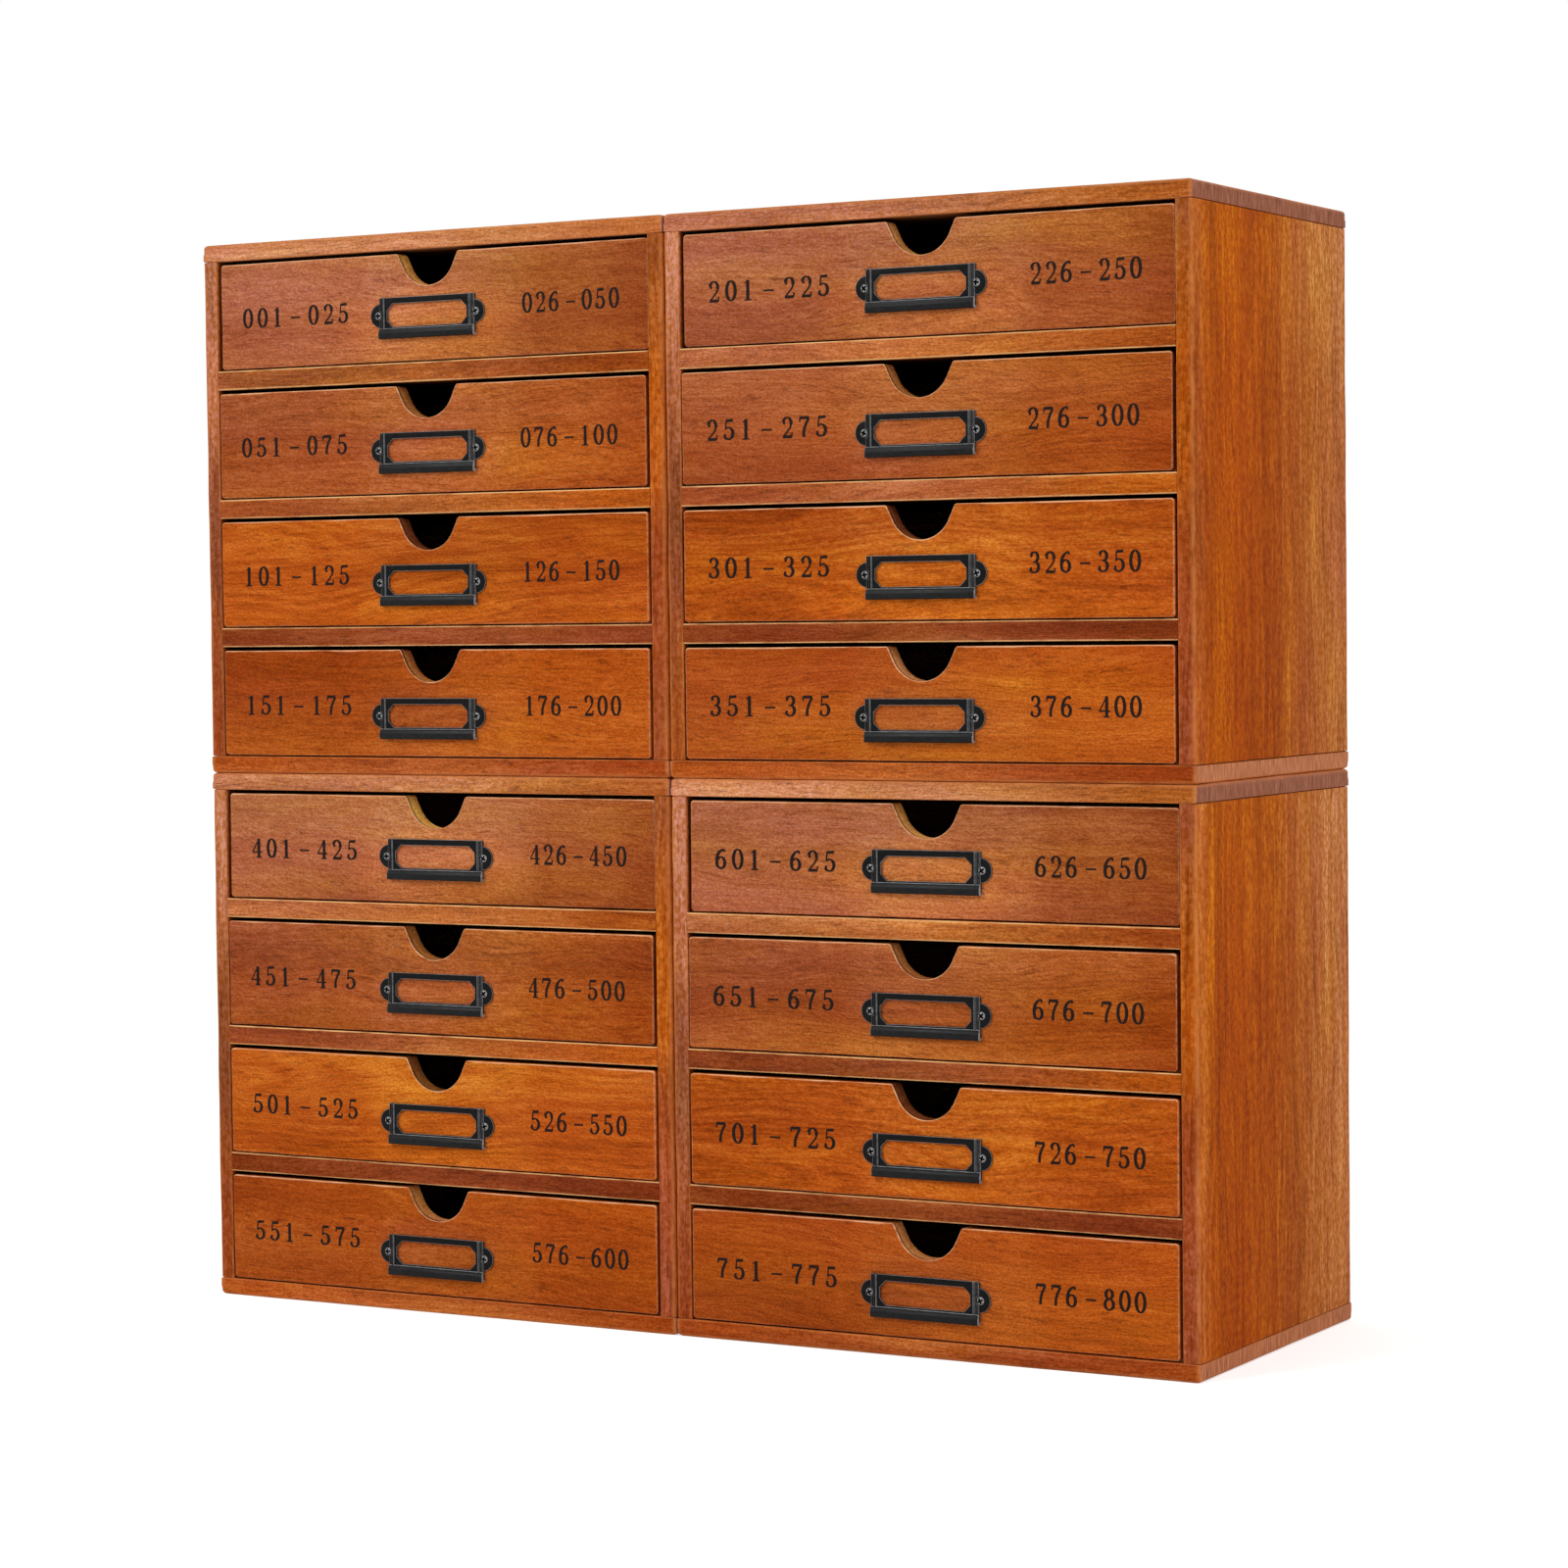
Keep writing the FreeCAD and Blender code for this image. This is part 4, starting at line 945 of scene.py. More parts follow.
# Every figure: its strokes as (points, weight), then its round ends as (across, up, radius).
SIX = ([(curve((0.50, 0.955), (0.36, 0.93), (0.20, 0.80), (0.11, 0.60), (0.085, 0.34),
               (0.13, 0.13), (0.30, 0.035)), 1.0),
        (bow(0.30, 0.31, 0.205, 0.275, 138, -92), 1.0)], [(0.475, 0.885, 0.062)])
FIGURES = {
    "0": ([(bow(0.31, 0.5, 0.225, 0.465, 84, 276, 18), 1.0),
           (bow(0.31, 0.5, 0.225, 0.465, -96, 96, 18), 1.0)], []),
    "1": ([([(0.31, 0.03), (0.31, 0.97)], 1.0), ([(0.13, 0.025), (0.49, 0.025)], 0.95),
           (curve((0.325, 0.955), (0.25, 0.87), (0.13, 0.825)), 0.6)], []),
    "2": ([(bow(0.30, 0.715, 0.20, 0.255, 172, -18), 1.0),
           (curve((0.50, 0.66), (0.455, 0.49), (0.27, 0.26), (0.10, 0.07)), 0.62),
           ([(0.07, 0.055), (0.53, 0.055)], 2.0), ([(0.525, 0.04), (0.55, 0.25)], 0.45)],
          [(0.145, 0.70, 0.066)]),
    "3": ([(bow(0.28, 0.745, 0.185, 0.225, 160, -84), 1.0),
           (bow(0.27, 0.285, 0.23, 0.25, 86, -158), 1.0),
           ([(0.20, 0.525), (0.33, 0.525)], 0.9)],
          [(0.125, 0.79, 0.062), (0.095, 0.225, 0.066)]),
    "4": ([(curve((0.42, 0.97), (0.24, 0.64), (0.045, 0.30)), 0.42),
           ([(0.03, 0.285), (0.60, 0.285)], 1.05), ([(0.415, 0.97), (0.415, 0.03)], 1.0),
           ([(0.26, 0.025), (0.57, 0.025)], 0.95)], []),
    "5": ([([(0.155, 0.925), (0.515, 0.945)], 1.9), ([(0.165, 0.95), (0.125, 0.50)], 0.42),
           (bow(0.275, 0.315, 0.235, 0.28, 128, -156), 1.0)], [(0.10, 0.235, 0.066)]),
    "6": SIX,
    "7": ([([(0.075, 0.925), (0.545, 0.925)], 2.0), ([(0.085, 0.96), (0.07, 0.735)], 0.45),
           (curve((0.53, 0.90), (0.385, 0.62), (0.29, 0.34), (0.265, 0.02)), 0.86)], []),
    "8": ([(bow(0.30, 0.755, 0.17, 0.215, 84, 276), 1.0),
           (bow(0.30, 0.755, 0.17, 0.215, -96, 96), 1.0),
           (bow(0.30, 0.28, 0.22, 0.25, 84, 276), 1.0),
           (bow(0.30, 0.28, 0.22, 0.25, -96, 96), 1.0)], []),
    "9": ([([(FIGURE_WIDTH - x, 1 - z) for x, z in line], weight) for line, weight in SIX[0]],
          [(FIGURE_WIDTH - x, 1 - z, radius) for x, z, radius in SIX[1]]),
    "-": ([([(0.24, 0.42), (0.78, 0.42)], 1.25)], []),
}


def stroke_outline(line, weight):
    """The outline of a pen stroke along a line: thick where it runs upright, thin across."""
    left, right = [], []
    for index, point in enumerate(line):
        before, after = line[max(index - 1, 0)], line[min(index + 1, len(line) - 1)]
        direction = Vector((after[0] - before[0], after[1] - before[1])).normalized()
        width = (THIN + (THICK - THIN) * abs(direction.y) ** 1.4) * weight / 2
        side = Vector((-direction.y, direction.x)) * width
        left.append(Vector(point) + side)
        right.append(Vector(point) - side)
    return right + left[::-1]


def inked_figure(name):
    """One figure as flat triangles, and the edges round it, with its strokes run together."""
    strokes, ends = FIGURES[name]
    outlines = [stroke_outline(line, weight) for line, weight in strokes]
    last = 360 - 360 / DOT_POINTS
    outlines += [[Vector(point) for point in bow(x, z, radius, radius, 0, last, DOT_POINTS - 1)]
                 for x, z, radius in ends]
    points, loops = [], []
    for outline in outlines:
        loops.append(list(range(len(points), len(points) + len(outline))))
        points += outline
    places, _, triangles, _, _, origins = geometry.delaunay_2d_cdt(points, [], loops, 0,
                                                                   INK_RUNS_OVER)
    kept = [triangle for triangle, origin in zip(triangles, origins) if origin]
    sides = dict.fromkeys(side for triangle in kept
                          for side in zip(triangle, triangle[1:] + triangle[:1]))
    rim = [pair for pair in sides if pair[::-1] not in sides]
    used = sorted({index for triangle in kept for index in triangle})
    number = {index: place for place, index in enumerate(used)}
    return ([tuple(places[index]) for index in used],
            [[number[index] for index in triangle] for triangle in kept],
            [(number[start], number[end]) for start, end in rim])


inked = {name: inked_figure(name) for name in FIGURES}


def number_block(words, middle, spread, face, up, points, faces):
    """Adds the figures of one block to a drawer's points and faces, as thin closed solids."""
    advances = [(DASH_ADVANCE if word == "-" else FIGURE_ADVANCE) * spread for word in words]
    figure = math.sqrt(spread)
    across = middle - FIGURE_HEIGHT * (sum(advances[:-1]) + FIGURE_WIDTH * figure) / 2
    for word, advance in zip(words, advances):
        flat, triangles, rim = inked[word]
        start, count = len(points), len(flat)
        for depth in (-INK, INK):
            points += [(across + x * FIGURE_HEIGHT * figure, face + depth,
                        up + (z - 0.5) * FIGURE_HEIGHT) for x, z in flat]
        faces += [[start + index for index in triangle] for triangle in triangles]
        faces += [[start + count + index for index in reversed(triangle)] for triangle in triangles]
        faces += [[start + second, start + first, start + count + first, start + count + second]
                  for first, second in rim]
        across += advance * FIGURE_HEIGHT


recipe = Recipe("stamped_ink")
spot = recipe.spot()
thin_ink = recipe.noise(spot, (900, 900, 1500), 4.0, 0.65)
wide_wear = recipe.noise(spot, (60, 60, 60))
worn_ink = recipe.sum("MULTIPLY_ADD", wide_wear, 0.35, thin_ink)
stamped_ink = recipe.coat({
    "Base Color": recipe.ramp(recipe.spread(worn_ink, 0.6, 1.0, kind="LINEAR"),
                              [(0.0, stain(24, 16, 14)), (0.6, stain(38, 22, 16)),
                               (0.9, stain(84, 42, 22)), (1.0, stain(130, 64, 30))]),
    "Roughness": recipe.spread(thin_ink, 0.2, 0.8, 0.42, 0.62), "Specular IOR Level": 0.08})

reading_order = sorted(drawers, key=lambda name: ("lower" in name, "right" in name, name))
for number, drawer in enumerate(reading_order):
    low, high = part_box(drawer + "_front")
    middle = 0.5 * (low.x + high.x)
    points, faces = [], []
    for block, across in enumerate(NUMBER_MIDDLES):
        first = PER_BLOCK * (2 * number + block) + 1
        number_block(f"{first:03d}-{first + PER_BLOCK - 1:03d}", middle + across,
                     NUMBER_SPREADS[block], low.y, low.z + NUMBER_HEIGHT, points, faces)
    mesh = bpy.data.meshes.new(drawer + "_numbers")
    mesh.from_pydata(points, [], faces)
    mesh.materials.append(stamped_ink)
    numbers = placed(drawer + "_numbers", mesh)
    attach(numbers, drawer)

# ---- 7. The label holders ------------------------------------------------------------------------
# Pressed steel frames in worn black lacquer: round ears, a plate with a cut-corner window, raised
# bands at the ends and a rolled ledge below that carries the card.

HOLDER_WIDTH = 52.6 * MM
HOLDER_HEIGHT = 18.9 * MM
HOLDER_FOOT = 9.85 * MM
LEDGE_HEIGHT = 4.8 * MM
PLATE_FACE = 1.2 * MM
CARD_SLOT = 0.5 * MM
BAND_WIDTH = 3 * MM
STRIP_WIDTH, STRIP_REACH = 1.6 * MM, 1.15 * MM
SCREW_CENTRE = 27 * MM
SCREW_CLEARANCE = 2.15 * MM
WINDOW_WIDTH, WINDOW_HEIGHT, WINDOW_CORNER = 44 * MM, 10.7 * MM, 3 * MM
WINDOW_DROP = 2.8 * MM
WINDOW_MIDDLE = HOLDER_FOOT + HOLDER_HEIGHT - WINDOW_DROP - 0.5 * WINDOW_HEIGHT
EAR, EAR_PLATE, EAR_CENTRE, EAR_ROOT = 5.4 * MM, 0.8 * MM, 26.1 * MM, 1.5 * MM
BAND_LIFT, PLATE_LIFT = 1 * MM, 2 * MM
BITE_STEPS = 12
# The ledge's section as (depth, up) and a band's as (from its outer side, depth), in millimetres.
LEDGE = ((0, 9.85), (-1.8, 9.85), (-2.2, 9.95), (-2.43, 10.2), (-2.5, 10.6), (-2.5, 12.2),
         (-2.45, 12.6), (-2.3, 13.0), (-2.1, 13.4), (-1.95, 13.8), (-1.9, 14.5), (-1.75, 14.65),
         (0, 14.65))
RIDGE = ((1.35, -0.5), (1.35, -1.5), (1.45, -1.74), (1.7, -1.88), (2.1, -1.9), (2.5, -1.88),
         (2.8, -1.76), (2.95, -1.5), (3, -1.1), (3, -0.5))
PLATE_EASING, BAR_EASING = 0.14 * MM, 0.12 * MM
SHARP_EDGE = math.radians(40)


def add_eased(shape, piece, rim, easing):
    """Rounds a piece's sharp edges a little, marks the rounding, where lacquer wears through, and
    moves its points and faces into the growing shape."""
    bmesh.ops.recalc_face_normals(piece, faces=piece.faces[:])
    sharp = [edge for edge in piece.edges if edge.calc_face_angle(0) > SHARP_EDGE]
    made = bmesh.ops.bevel(piece, geom=sharp, offset=easing, segments=2, profile=0.6,
                           affect="EDGES", clamp_overlap=True)
    for face in made["faces"]:
        face[rim] = 1.0
    start = len(shape["points"])
    piece.verts.index_update()
    shape["points"] += [tuple(vert.co) for vert in piece.verts]
    shape["faces"] += [[start + vert.index for vert in face.verts] for face in piece.faces]
    shape["rim"] += [face[rim] for face in piece.faces]
    piece.free()


def pressed(shape, flat, near_face, far_face, hole=None):
    """Adds a plate to shape: an outline in (across, up) between two depths, with eased edges."""
    piece = bmesh.new()
    rim = piece.faces.layers.float.new("rim")
    ring = [piece.verts.new((x, near_face, z)) for x, z in flat]
    if hole:
        inner = [piece.verts.new((x, near_face, z)) for x, z in hole]
        for index in range(len(flat)):
            following = (index + 1) % len(flat)
            piece.faces.new((ring[index], ring[following], inner[following], inner[index]))
    else:
        piece.faces.new(ring)
    grown_faces = bmesh.ops.extrude_face_region(piece, geom=piece.faces[:])
    moved = [part for part in grown_faces["geom"] if isinstance(part, bmesh.types.BMVert)]
    bmesh.ops.translate(piece, verts=moved, vec=(0, far_face - near_face, 0))
    add_eased(shape, piece, rim, PLATE_EASING)


def rolled(shape, profile, place, ends):
    """Adds a bar of constant section to shape. place turns a profile point and an end into 3-D."""
    piece = bmesh.new()
    rim = piece.faces.layers.float.new("rim")
    rings = [[piece.verts.new(place(point, end)) for point in profile] for end in ends]
    piece.faces.new(rings[0])
    piece.faces.new(rings[1][::-1])
    for index in range(len(profile)):
        following = (index + 1) % len(profile)
        piece.faces.new((rings[0][index], rings[1][index], rings[1][following],
                         rings[0][following]))
    add_eased(shape, piece, rim, BAR_EASING)


holder_shape = {"points": [], "faces": [], "rim": []}
top = HOLDER_FOOT + HOLDER_HEIGHT
half, tall, cut = WINDOW_WIDTH / 2, WINDOW_HEIGHT / 2, WINDOW_CORNER
window = [(-half + cut, WINDOW_MIDDLE - tall), (0, WINDOW_MIDDLE - tall),
          (half - cut, WINDOW_MIDDLE - tall), (half, WINDOW_MIDDLE - tall + cut),
          (half, WINDOW_MIDDLE + tall - cut), (half - cut, WINDOW_MIDDLE + tall),
          (-half + cut, WINDOW_MIDDLE + tall), (-half, WINDOW_MIDDLE + tall - cut),
          (-half, WINDOW_MIDDLE - tall + cut)]
side, low_edge = HOLDER_WIDTH / 2 - 0.6 * BAND_WIDTH, HOLDER_FOOT + PLATE_LIFT
plate = [(-half + cut, low_edge), (0, low_edge), (half - cut, low_edge), (side, low_edge),
         (side, top), (half - cut, top), (-half + cut, top), (-side, top), (-side, low_edge)]
pressed(holder_shape, plate, -CARD_SLOT, -PLATE_FACE, hole=window)
for sign in (-1, 1):
    ear = [(sign * (EAR_CENTRE + EAR * math.sin(math.radians(angle))),
            WINDOW_MIDDLE - EAR * math.cos(math.radians(angle))) for angle in range(0, 181, 9)]
    ear = [(sign * (EAR_CENTRE - EAR_ROOT), WINDOW_MIDDLE - EAR)] + ear
    ear += [(sign * (EAR_CENTRE - EAR_ROOT), WINDOW_MIDDLE + EAR)]
    pressed(holder_shape, ear, 0.0, -EAR_PLATE)
    outer, inner = HOLDER_WIDTH / 2, HOLDER_WIDTH / 2 - STRIP_WIDTH
    opened = math.degrees(math.acos((SCREW_CENTRE - outer) / SCREW_CLEARANCE))
    bite = [(SCREW_CENTRE + SCREW_CLEARANCE * math.cos(angle),
             WINDOW_MIDDLE + SCREW_CLEARANCE * math.sin(angle))
            for angle in (math.radians(180 + opened * (1 - 2 * part / BITE_STEPS))
                          for part in range(BITE_STEPS + 1))]
    strip = [(inner, HOLDER_FOOT + BAND_LIFT), (outer, HOLDER_FOOT + BAND_LIFT), *bite,
             (outer, top), (inner, top)]
    pressed(holder_shape, [(sign * x, z) for x, z in strip], 0.0, -STRIP_REACH)
    rolled(holder_shape, RIDGE,
           lambda point, end: (sign * (HOLDER_WIDTH / 2 - point[0] * MM), point[1] * MM, end),
           (HOLDER_FOOT + BAND_LIFT, top))
rolled(holder_shape, LEDGE, lambda point, end: (end, point[0] * MM, point[1] * MM),
       (-HOLDER_WIDTH / 2, HOLDER_WIDTH / 2))


def lacquer_bare_and_lit(across, depth, up):
    """How pale the lacquer is at a place. The bands' shoulders carry painted highlight lines, the
    right band is worn grey with a painted reflection, the more so towards its top, the outer face of
    the ledge has a faint painted highlight that grows towards its top, and the ends of the ledge are
    knocked through to the steel."""
    from_side = HOLDER_WIDTH / 2 - abs(across)
    above = (up - HOLDER_FOOT - LEDGE_HEIGHT) / (HOLDER_HEIGHT - LEDGE_HEIGHT)
    wear_and_highlight = 0.0
    if above > 0 and -0.1 * MM < from_side < BAND_WIDTH - 0.02 * MM and depth < -EAR_PLATE:
        if from_side > BAND_WIDTH - 0.35 * MM:
            wear_and_highlight = 0.5
        elif depth < -STRIP_REACH - 0.2 * MM and from_side < STRIP_WIDTH:
            wear_and_highlight = 0.15
        if across > 0:
            wear_and_highlight = max(wear_and_highlight, (0.1 + 1.7 * above ** 2) * (0.1 + 0.9 * from_side / BAND_WIDTH))
    elif above < 0 and from_side < 0.3 * MM:
        wear_and_highlight = 1.3 if across > 0 else 0.3
    elif above < 0 and depth < -1.8 * MM:
        wear_and_highlight = 0.05 * max(0.0, 1 + 1.6 * above)
    return wear_and_highlight


# Each face takes the paler of its eased rim and the places above: worn lacquer and painted
# highlights.
for index, face in enumerate(holder_shape["faces"]):
    middle = np.mean([holder_shape["points"][point] for point in face], axis=0)
    holder_shape["rim"][index] = max(0.85 * holder_shape["rim"][index], lacquer_bare_and_lit(*middle))

recipe = Recipe("black_lacquer")
spot = recipe.spot()
scuffs = recipe.noise(spot, (260, 260, 520), 5.0, 0.62)
fine_scuffs = recipe.noise(spot, (1500, 1500, 1500), 3.0, 0.6)
# Pale grey steel shows where the lacquer is worn through and where highlights and a reflection are
# painted.
bare_and_lit = recipe.sum("MULTIPLY", recipe.attribute("rim", 2),
                  recipe.spread(scuffs, 0.32, 0.66, 0.35, 0.6), clamp=True)
rubbed_through = recipe.spread(recipe.sum("MULTIPLY_ADD", fine_scuffs, 0.3, scuffs),
                               0.86, 1.0, 0, 0.12)
bare_and_lit = recipe.sum("MAXIMUM", bare_and_lit, rubbed_through)
lacquer = recipe.ramp(scuffs, [(0.3, (0.001, 0.001, 0.001)), (0.7, (0.003, 0.003, 0.003))])
black_lacquer = recipe.coat({
    "Base Color": recipe.blend(bare_and_lit, lacquer, (0.48, 0.48, 0.49, 1)),
    "Roughness": recipe.spread(scuffs, 0.3, 0.75, 0.30, 0.50),
    "Metallic": recipe.sum("MULTIPLY", bare_and_lit, 0.5), "Specular IOR Level": 0.1,
    "Normal": recipe.add("Bump", {"Height": fine_scuffs, "Strength": 0.12,
                                  "Distance": 0.1 * MM})})

for drawer in drawers:
    low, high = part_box(drawer + "_label_holder")
    shift = np.array([0.5 * (low.x + high.x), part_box(drawer + "_front")[0].y, low.z - HOLDER_FOOT])
    mesh = bpy.data.meshes.new(drawer + "_holder")
    mesh.from_pydata((np.array(holder_shape["points"]) + shift).tolist(), [],
                     holder_shape["faces"])
    mesh.attributes.new("rim", "FLOAT", "FACE").data.foreach_set("value", holder_shape["rim"])
    mesh.materials.append(black_lacquer)
    holder = placed(drawer + "_holder", mesh, smooth_below=38)
    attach(holder, drawer)
    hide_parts(drawer + "_label_holder")

# ---- 8. The screws -------------------------------------------------------------------------------
# Two round-headed steel screws with a cross slot hold each label holder by its ears. A pale ring
# on each near-black domed head is a painted highlight.

SCREW_HEAD = 1.9 * MM
SCREW_DOME = 1.1 * MM
SLOT_WIDTH = 0.9 * MM
SLOT_DEPTH = 0.95 * MM
SLOT_REACH = 1.35 * MM
SCREW_SINK = 0.1 * MM
# Where the painted highlight ring sits: how high on the dome, and how far its surface faces out.
RING_RISE, RING_FACING = (0.32, 0.46), (0.15, 0.45)

recipe = Recipe("screw_steel")
ring_mottle = recipe.noise(recipe.spot(), (1800, 1800, 1800), 3.0, 0.6)
# Painted highlight: the pale ring on each dome.
shine = recipe.sum("MULTIPLY", recipe.attribute("crown", 2),
                   recipe.spread(ring_mottle, 0.3, 0.6, 0.6, 1.0), clamp=True)
screw_steel = recipe.coat({
    "Base Color": recipe.blend(shine, (0.001, 0.001, 0.001, 1), (0.30, 0.30, 0.30, 1)),
    "Metallic": recipe.sum("MULTIPLY", shine, 0.4), "Specular IOR Level": 0.1,
    "Roughness": recipe.spread(ring_mottle, 0.2, 0.8, 0.4, 0.6)})

tree, given, result = node_tree("label_screws", [
    ("Head radius", "Float"), ("Dome", "Float"), ("Slot width", "Float"), ("Slot depth", "Float"),
    ("Slot reach", "Float"), ("Left screw", "Vector"), ("Right screw", "Vector"),
    ("Seed", "Int"), ("Steel", "Material")])
dome = step(tree, "GeometryNodeMeshUVSphere", {"Segments": 32, "Rings": 20,
                                               "Radius": given.outputs["Head radius"]})
squash = step(tree, "ShaderNodeMath", {0: given.outputs["Dome"], 1: given.outputs["Head radius"]},
              operation="DIVIDE")
head_scale = step(tree, "ShaderNodeCombineXYZ", {"X": 1.0, "Y": 1.0, "Z": squash.outputs[0]})
head = step(tree, "GeometryNodeTransform", {"Geometry": dome.outputs[0],
                                            "Scale": head_scale.outputs[0]})
arm_length = step(tree, "ShaderNodeMath", {0: given.outputs["Slot reach"], 1: 2.0},
                  operation="MULTIPLY")
arm_size = step(tree, "ShaderNodeCombineXYZ", {"X": arm_length.outputs[0],
                                               "Y": given.outputs["Slot width"],
                                               "Z": given.outputs["Slot depth"]})
arm_place = step(tree, "ShaderNodeCombineXYZ", {"Z": given.outputs["Dome"]})
arms = []
for degrees in (0, 90):
    arm = step(tree, "GeometryNodeMeshCube", {"Size": arm_size.outputs[0]})
    arms.append(step(tree, "GeometryNodeTransform", {"Geometry": arm.outputs[0],
                                                     "Translation": arm_place.outputs[0],
                                                     "Rotation": (0, 0, math.radians(degrees))}))
recessed = step(tree, "GeometryNodeMeshBoolean",
                {"Mesh 1": head.outputs[0], "Mesh 2": [arm.outputs[0] for arm in arms]},
                operation="DIFFERENCE")
where = step(tree, "GeometryNodeInputPosition", {})
normal = step(tree, "GeometryNodeInputNormal", {})
split = step(tree, "ShaderNodeSeparateXYZ", {0: where.outputs[0]})
relative = step(tree, "ShaderNodeMath", {0: split.outputs[2], 1: given.outputs["Dome"]},
                operation="DIVIDE")
facing = step(tree, "ShaderNodeSeparateXYZ", {0: normal.outputs[0]})
high_enough = step(tree, "ShaderNodeMapRange", {
    "Value": relative.outputs[0], "From Min": RING_RISE[0], "From Max": RING_RISE[1]})
facing_out = step(tree, "ShaderNodeMapRange", {
    "Value": facing.outputs[2], "From Min": RING_FACING[0], "From Max": RING_FACING[1]})
ring_mark = step(tree, "ShaderNodeMath", {0: high_enough.outputs[0], 1: facing_out.outputs[0]},
                  operation="MULTIPLY")
marked = step(tree, "GeometryNodeStoreNamedAttribute",
              {"Geometry": recessed.outputs[0], "Name": "crown", "Value": ring_mark.outputs[0]},
              data_type="FLOAT", domain="FACE")
ends = step(tree, "GeometryNodeMeshLine", {
    "Count": 2, "Start Location": given.outputs["Left screw"],
    "Offset": given.outputs["Right screw"]}, mode="END_POINTS")
turned = step(tree, "FunctionNodeRandomValue",
              {"Seed": given.outputs["Seed"], 2: 0.0, 3: math.pi}, data_type="FLOAT")
screw_turn = step(tree, "ShaderNodeCombineXYZ", {"X": math.radians(90), "Y": turned.outputs[1]})
screws = step(tree, "GeometryNodeInstanceOnPoints", {"Points": ends.outputs[0],
                                                     "Instance": marked.outputs[0],
                                                     "Rotation": screw_turn.outputs[0]})
real = step(tree, "GeometryNodeRealizeInstances", {"Geometry": screws.outputs[0]})
dressed = step(tree, "GeometryNodeSetMaterial", {"Geometry": real.outputs[0],
                                                 "Material": given.outputs["Steel"]})
tree.links.new(dressed.outputs[0], result.inputs[0])

for number, drawer in enumerate(drawers):
    low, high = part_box(drawer + "_label_holder")
    middle, up = 0.5 * (low.x + high.x), low.z - HOLDER_FOOT + WINDOW_MIDDLE
    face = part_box(drawer + "_front")[0].y - EAR_PLATE + SCREW_SINK
    screws = grown(drawer + "_screws", tree, {
        "Head radius": SCREW_HEAD, "Dome": SCREW_DOME, "Slot width": SLOT_WIDTH,
        "Slot depth": 2 * SLOT_DEPTH, "Slot reach": SLOT_REACH,
        "Left screw": (middle - SCREW_CENTRE, face, up),
        "Right screw": (middle + SCREW_CENTRE, face, up), "Seed": 31 + number,
        "Steel": screw_steel}, smooth_below=30)
    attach(screws, drawer)
    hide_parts(drawer + "_label_holder")

# ---- 9. The floor, the light and the camera ------------------------------------------------------
# A pale floor without edges, which glows a little where it is looked at, under an even white sky,
# with a soft lamp high on the left and a dimmer one on the right.

FLOOR_REACH, FLOOR_GLOW = 30, 0.5
SKY_LIGHT = 0.62
LAMPS = (("left_lamp", (-1.3, -2.2, 2.0), (0, 0, 0.25), (1.2, 0.9), 34),
         ("right_lamp", (2.4, -0.5, 1.3), (0.2, 0, 0.25), (0.9, 0.9), 16))


def seen_directly(tree):
    """Is 1 for what the camera, a reflection or a clear thing sees, and 0 for light."""
    rays = tree.nodes.new("ShaderNodeLightPath")
    chosen = rays.outputs["Is Camera Ray"]
    for label in ("Is Glossy Ray", "Is Transmission Ray"):
        larger = tree.nodes.new("ShaderNodeMath")
        larger.operation = "MAXIMUM"
        tree.links.new(chosen, larger.inputs[0])
        tree.links.new(rays.outputs[label], larger.inputs[1])
        chosen = larger.outputs[0]
    return chosen


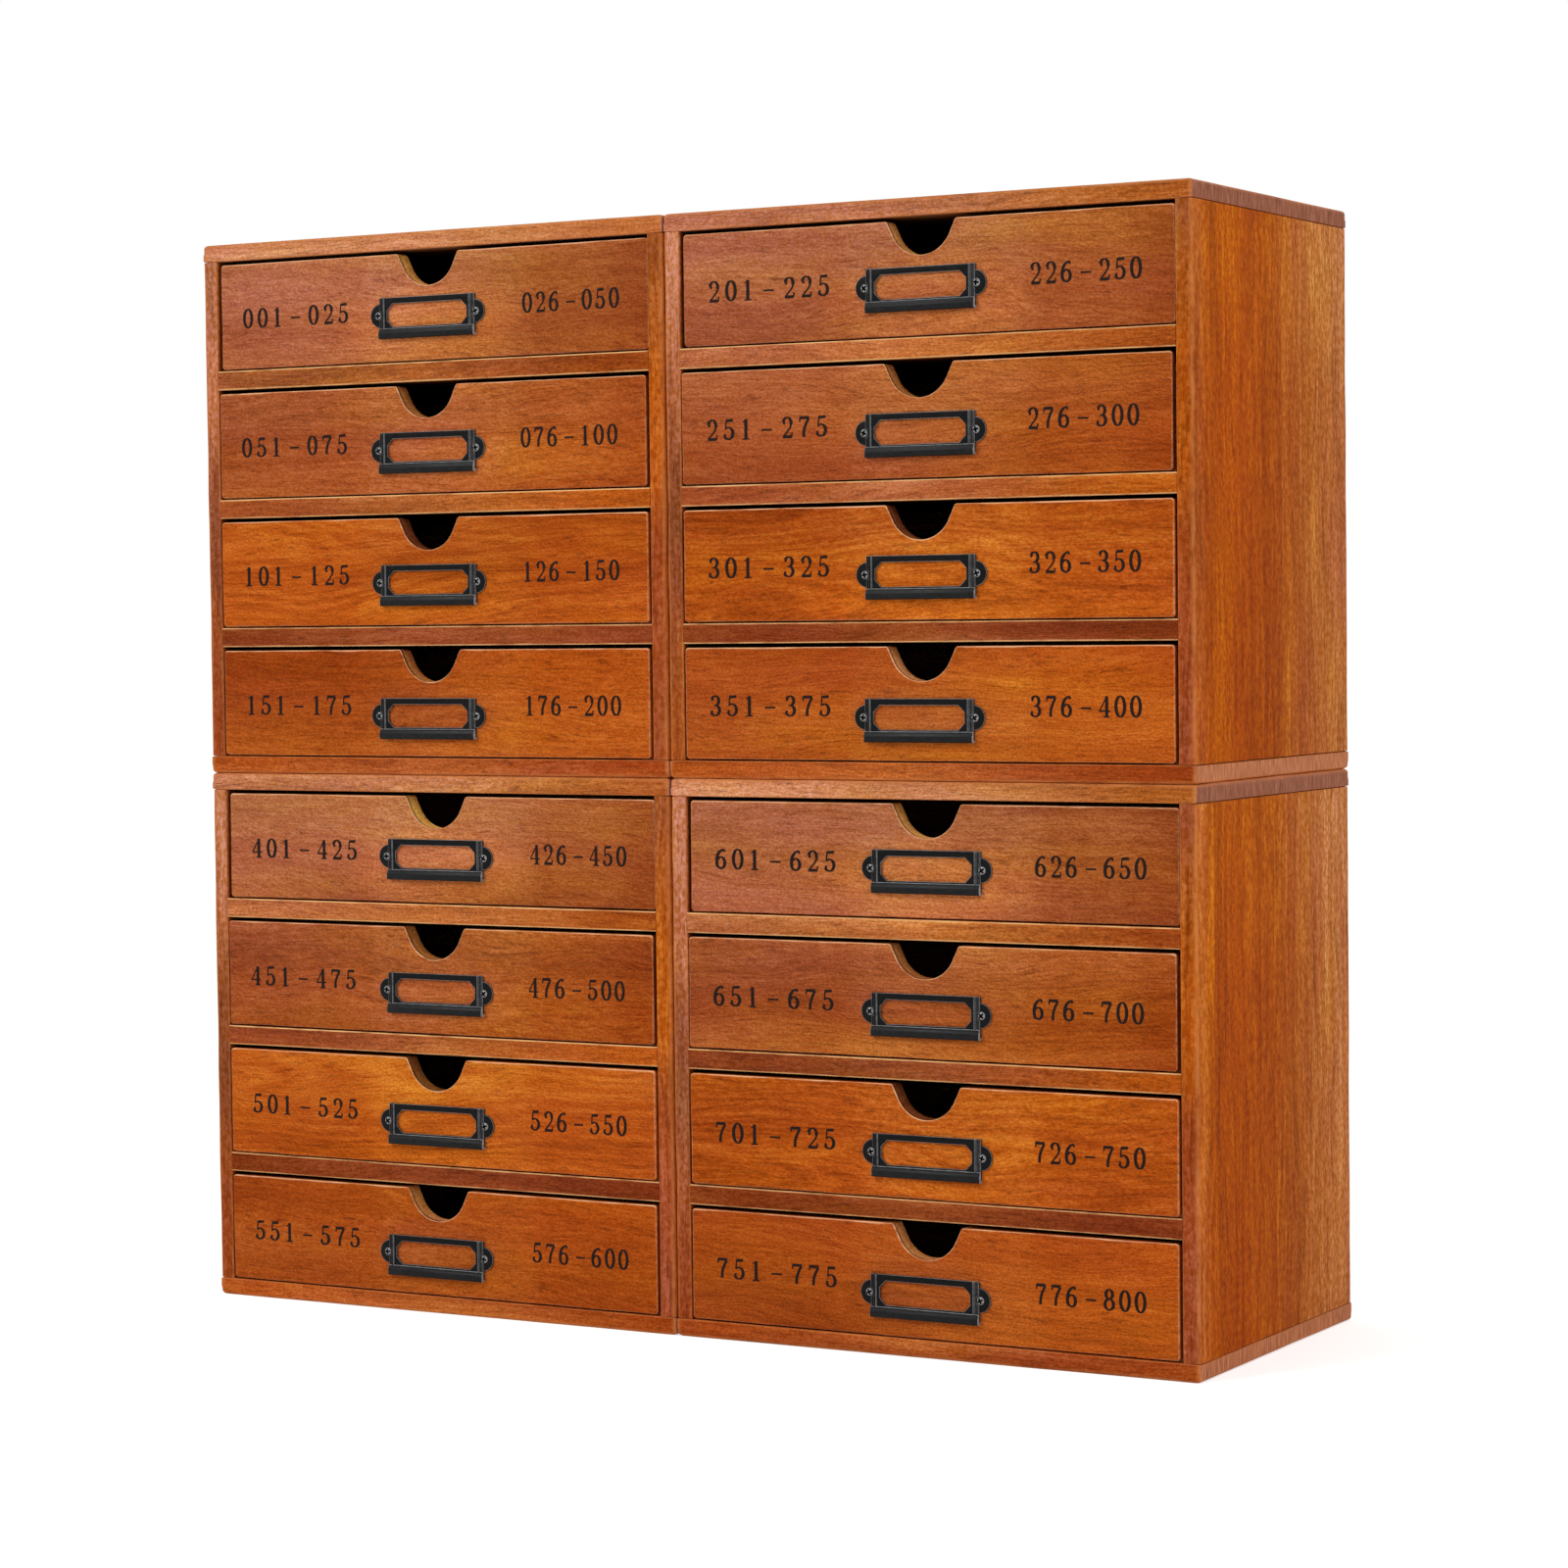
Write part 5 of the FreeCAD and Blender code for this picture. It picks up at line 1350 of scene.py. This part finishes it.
recipe = Recipe("pale_floor")
pale_floor = recipe.coat({
    "Base Color": (0.86, 0.86, 0.86, 1), "Roughness": 0.9, "Specular IOR Level": 0.1,
    "Emission Color": (1, 1, 1, 1),
    "Emission Strength": recipe.sum("MULTIPLY", seen_directly(recipe.material.node_tree),
                                    FLOOR_GLOW)})
floor_mesh = bpy.data.meshes.new("floor")
floor_mesh.from_pydata([(x * FLOOR_REACH, y * FLOOR_REACH, 0)
                        for x, y in ((-1, -1), (1, -1), (1, 1), (-1, 1))], [], [(0, 1, 2, 3)])
floor_mesh.materials.append(pale_floor)
placed("floor", floor_mesh)

world = bpy.data.worlds.new("studio")
bpy.context.scene.world = world
world.use_nodes = True
sky = world.node_tree.nodes["Background"]
sky.inputs["Color"].default_value = (1, 1, 1, 1)
lift = world.node_tree.nodes.new("ShaderNodeMapRange")
lift.inputs["To Min"].default_value = SKY_LIGHT
world.node_tree.links.new(seen_directly(world.node_tree), lift.inputs["Value"])
world.node_tree.links.new(lift.outputs[0], sky.inputs["Strength"])

for name, place, target, size, power in LAMPS:
    light = bpy.data.lights.new(name, "AREA")
    light.shape = "RECTANGLE"
    light.size, light.size_y = size
    light.energy = power
    lamp = bpy.data.objects.new(name, light)
    lamp.location = place
    lamp.rotation_euler = (Vector(target) - Vector(place)).to_track_quat("-Z", "Y").to_euler()
    bpy.context.scene.collection.objects.link(lamp)

AZIMUTH, ELEVATION, ROLL = (math.radians(angle) for angle in (29.64, 2.458, -0.66))
DISTANCE, LENS, SENSOR, FAR_LIMIT = 1.7509, 91.75, 36, 100
TARGET = Vector((0.0588, front_plane, 0.2481))
camera_data = bpy.data.cameras.new("camera")
camera_data.lens, camera_data.sensor_width, camera_data.clip_end = LENS, SENSOR, FAR_LIMIT
camera = bpy.data.objects.new("camera", camera_data)
away = Vector((math.sin(AZIMUTH) * math.cos(ELEVATION),
               -math.cos(AZIMUTH) * math.cos(ELEVATION), math.sin(ELEVATION)))
camera.location = TARGET + away * DISTANCE
camera.rotation_mode = "QUATERNION"
camera.rotation_quaternion = (away.to_track_quat("Z", "Y")
                              @ Matrix.Rotation(ROLL, 3, "Z").to_quaternion())
bpy.context.scene.collection.objects.link(camera)
bpy.context.scene.camera = camera
bpy.context.scene.view_settings.view_transform = "Standard"
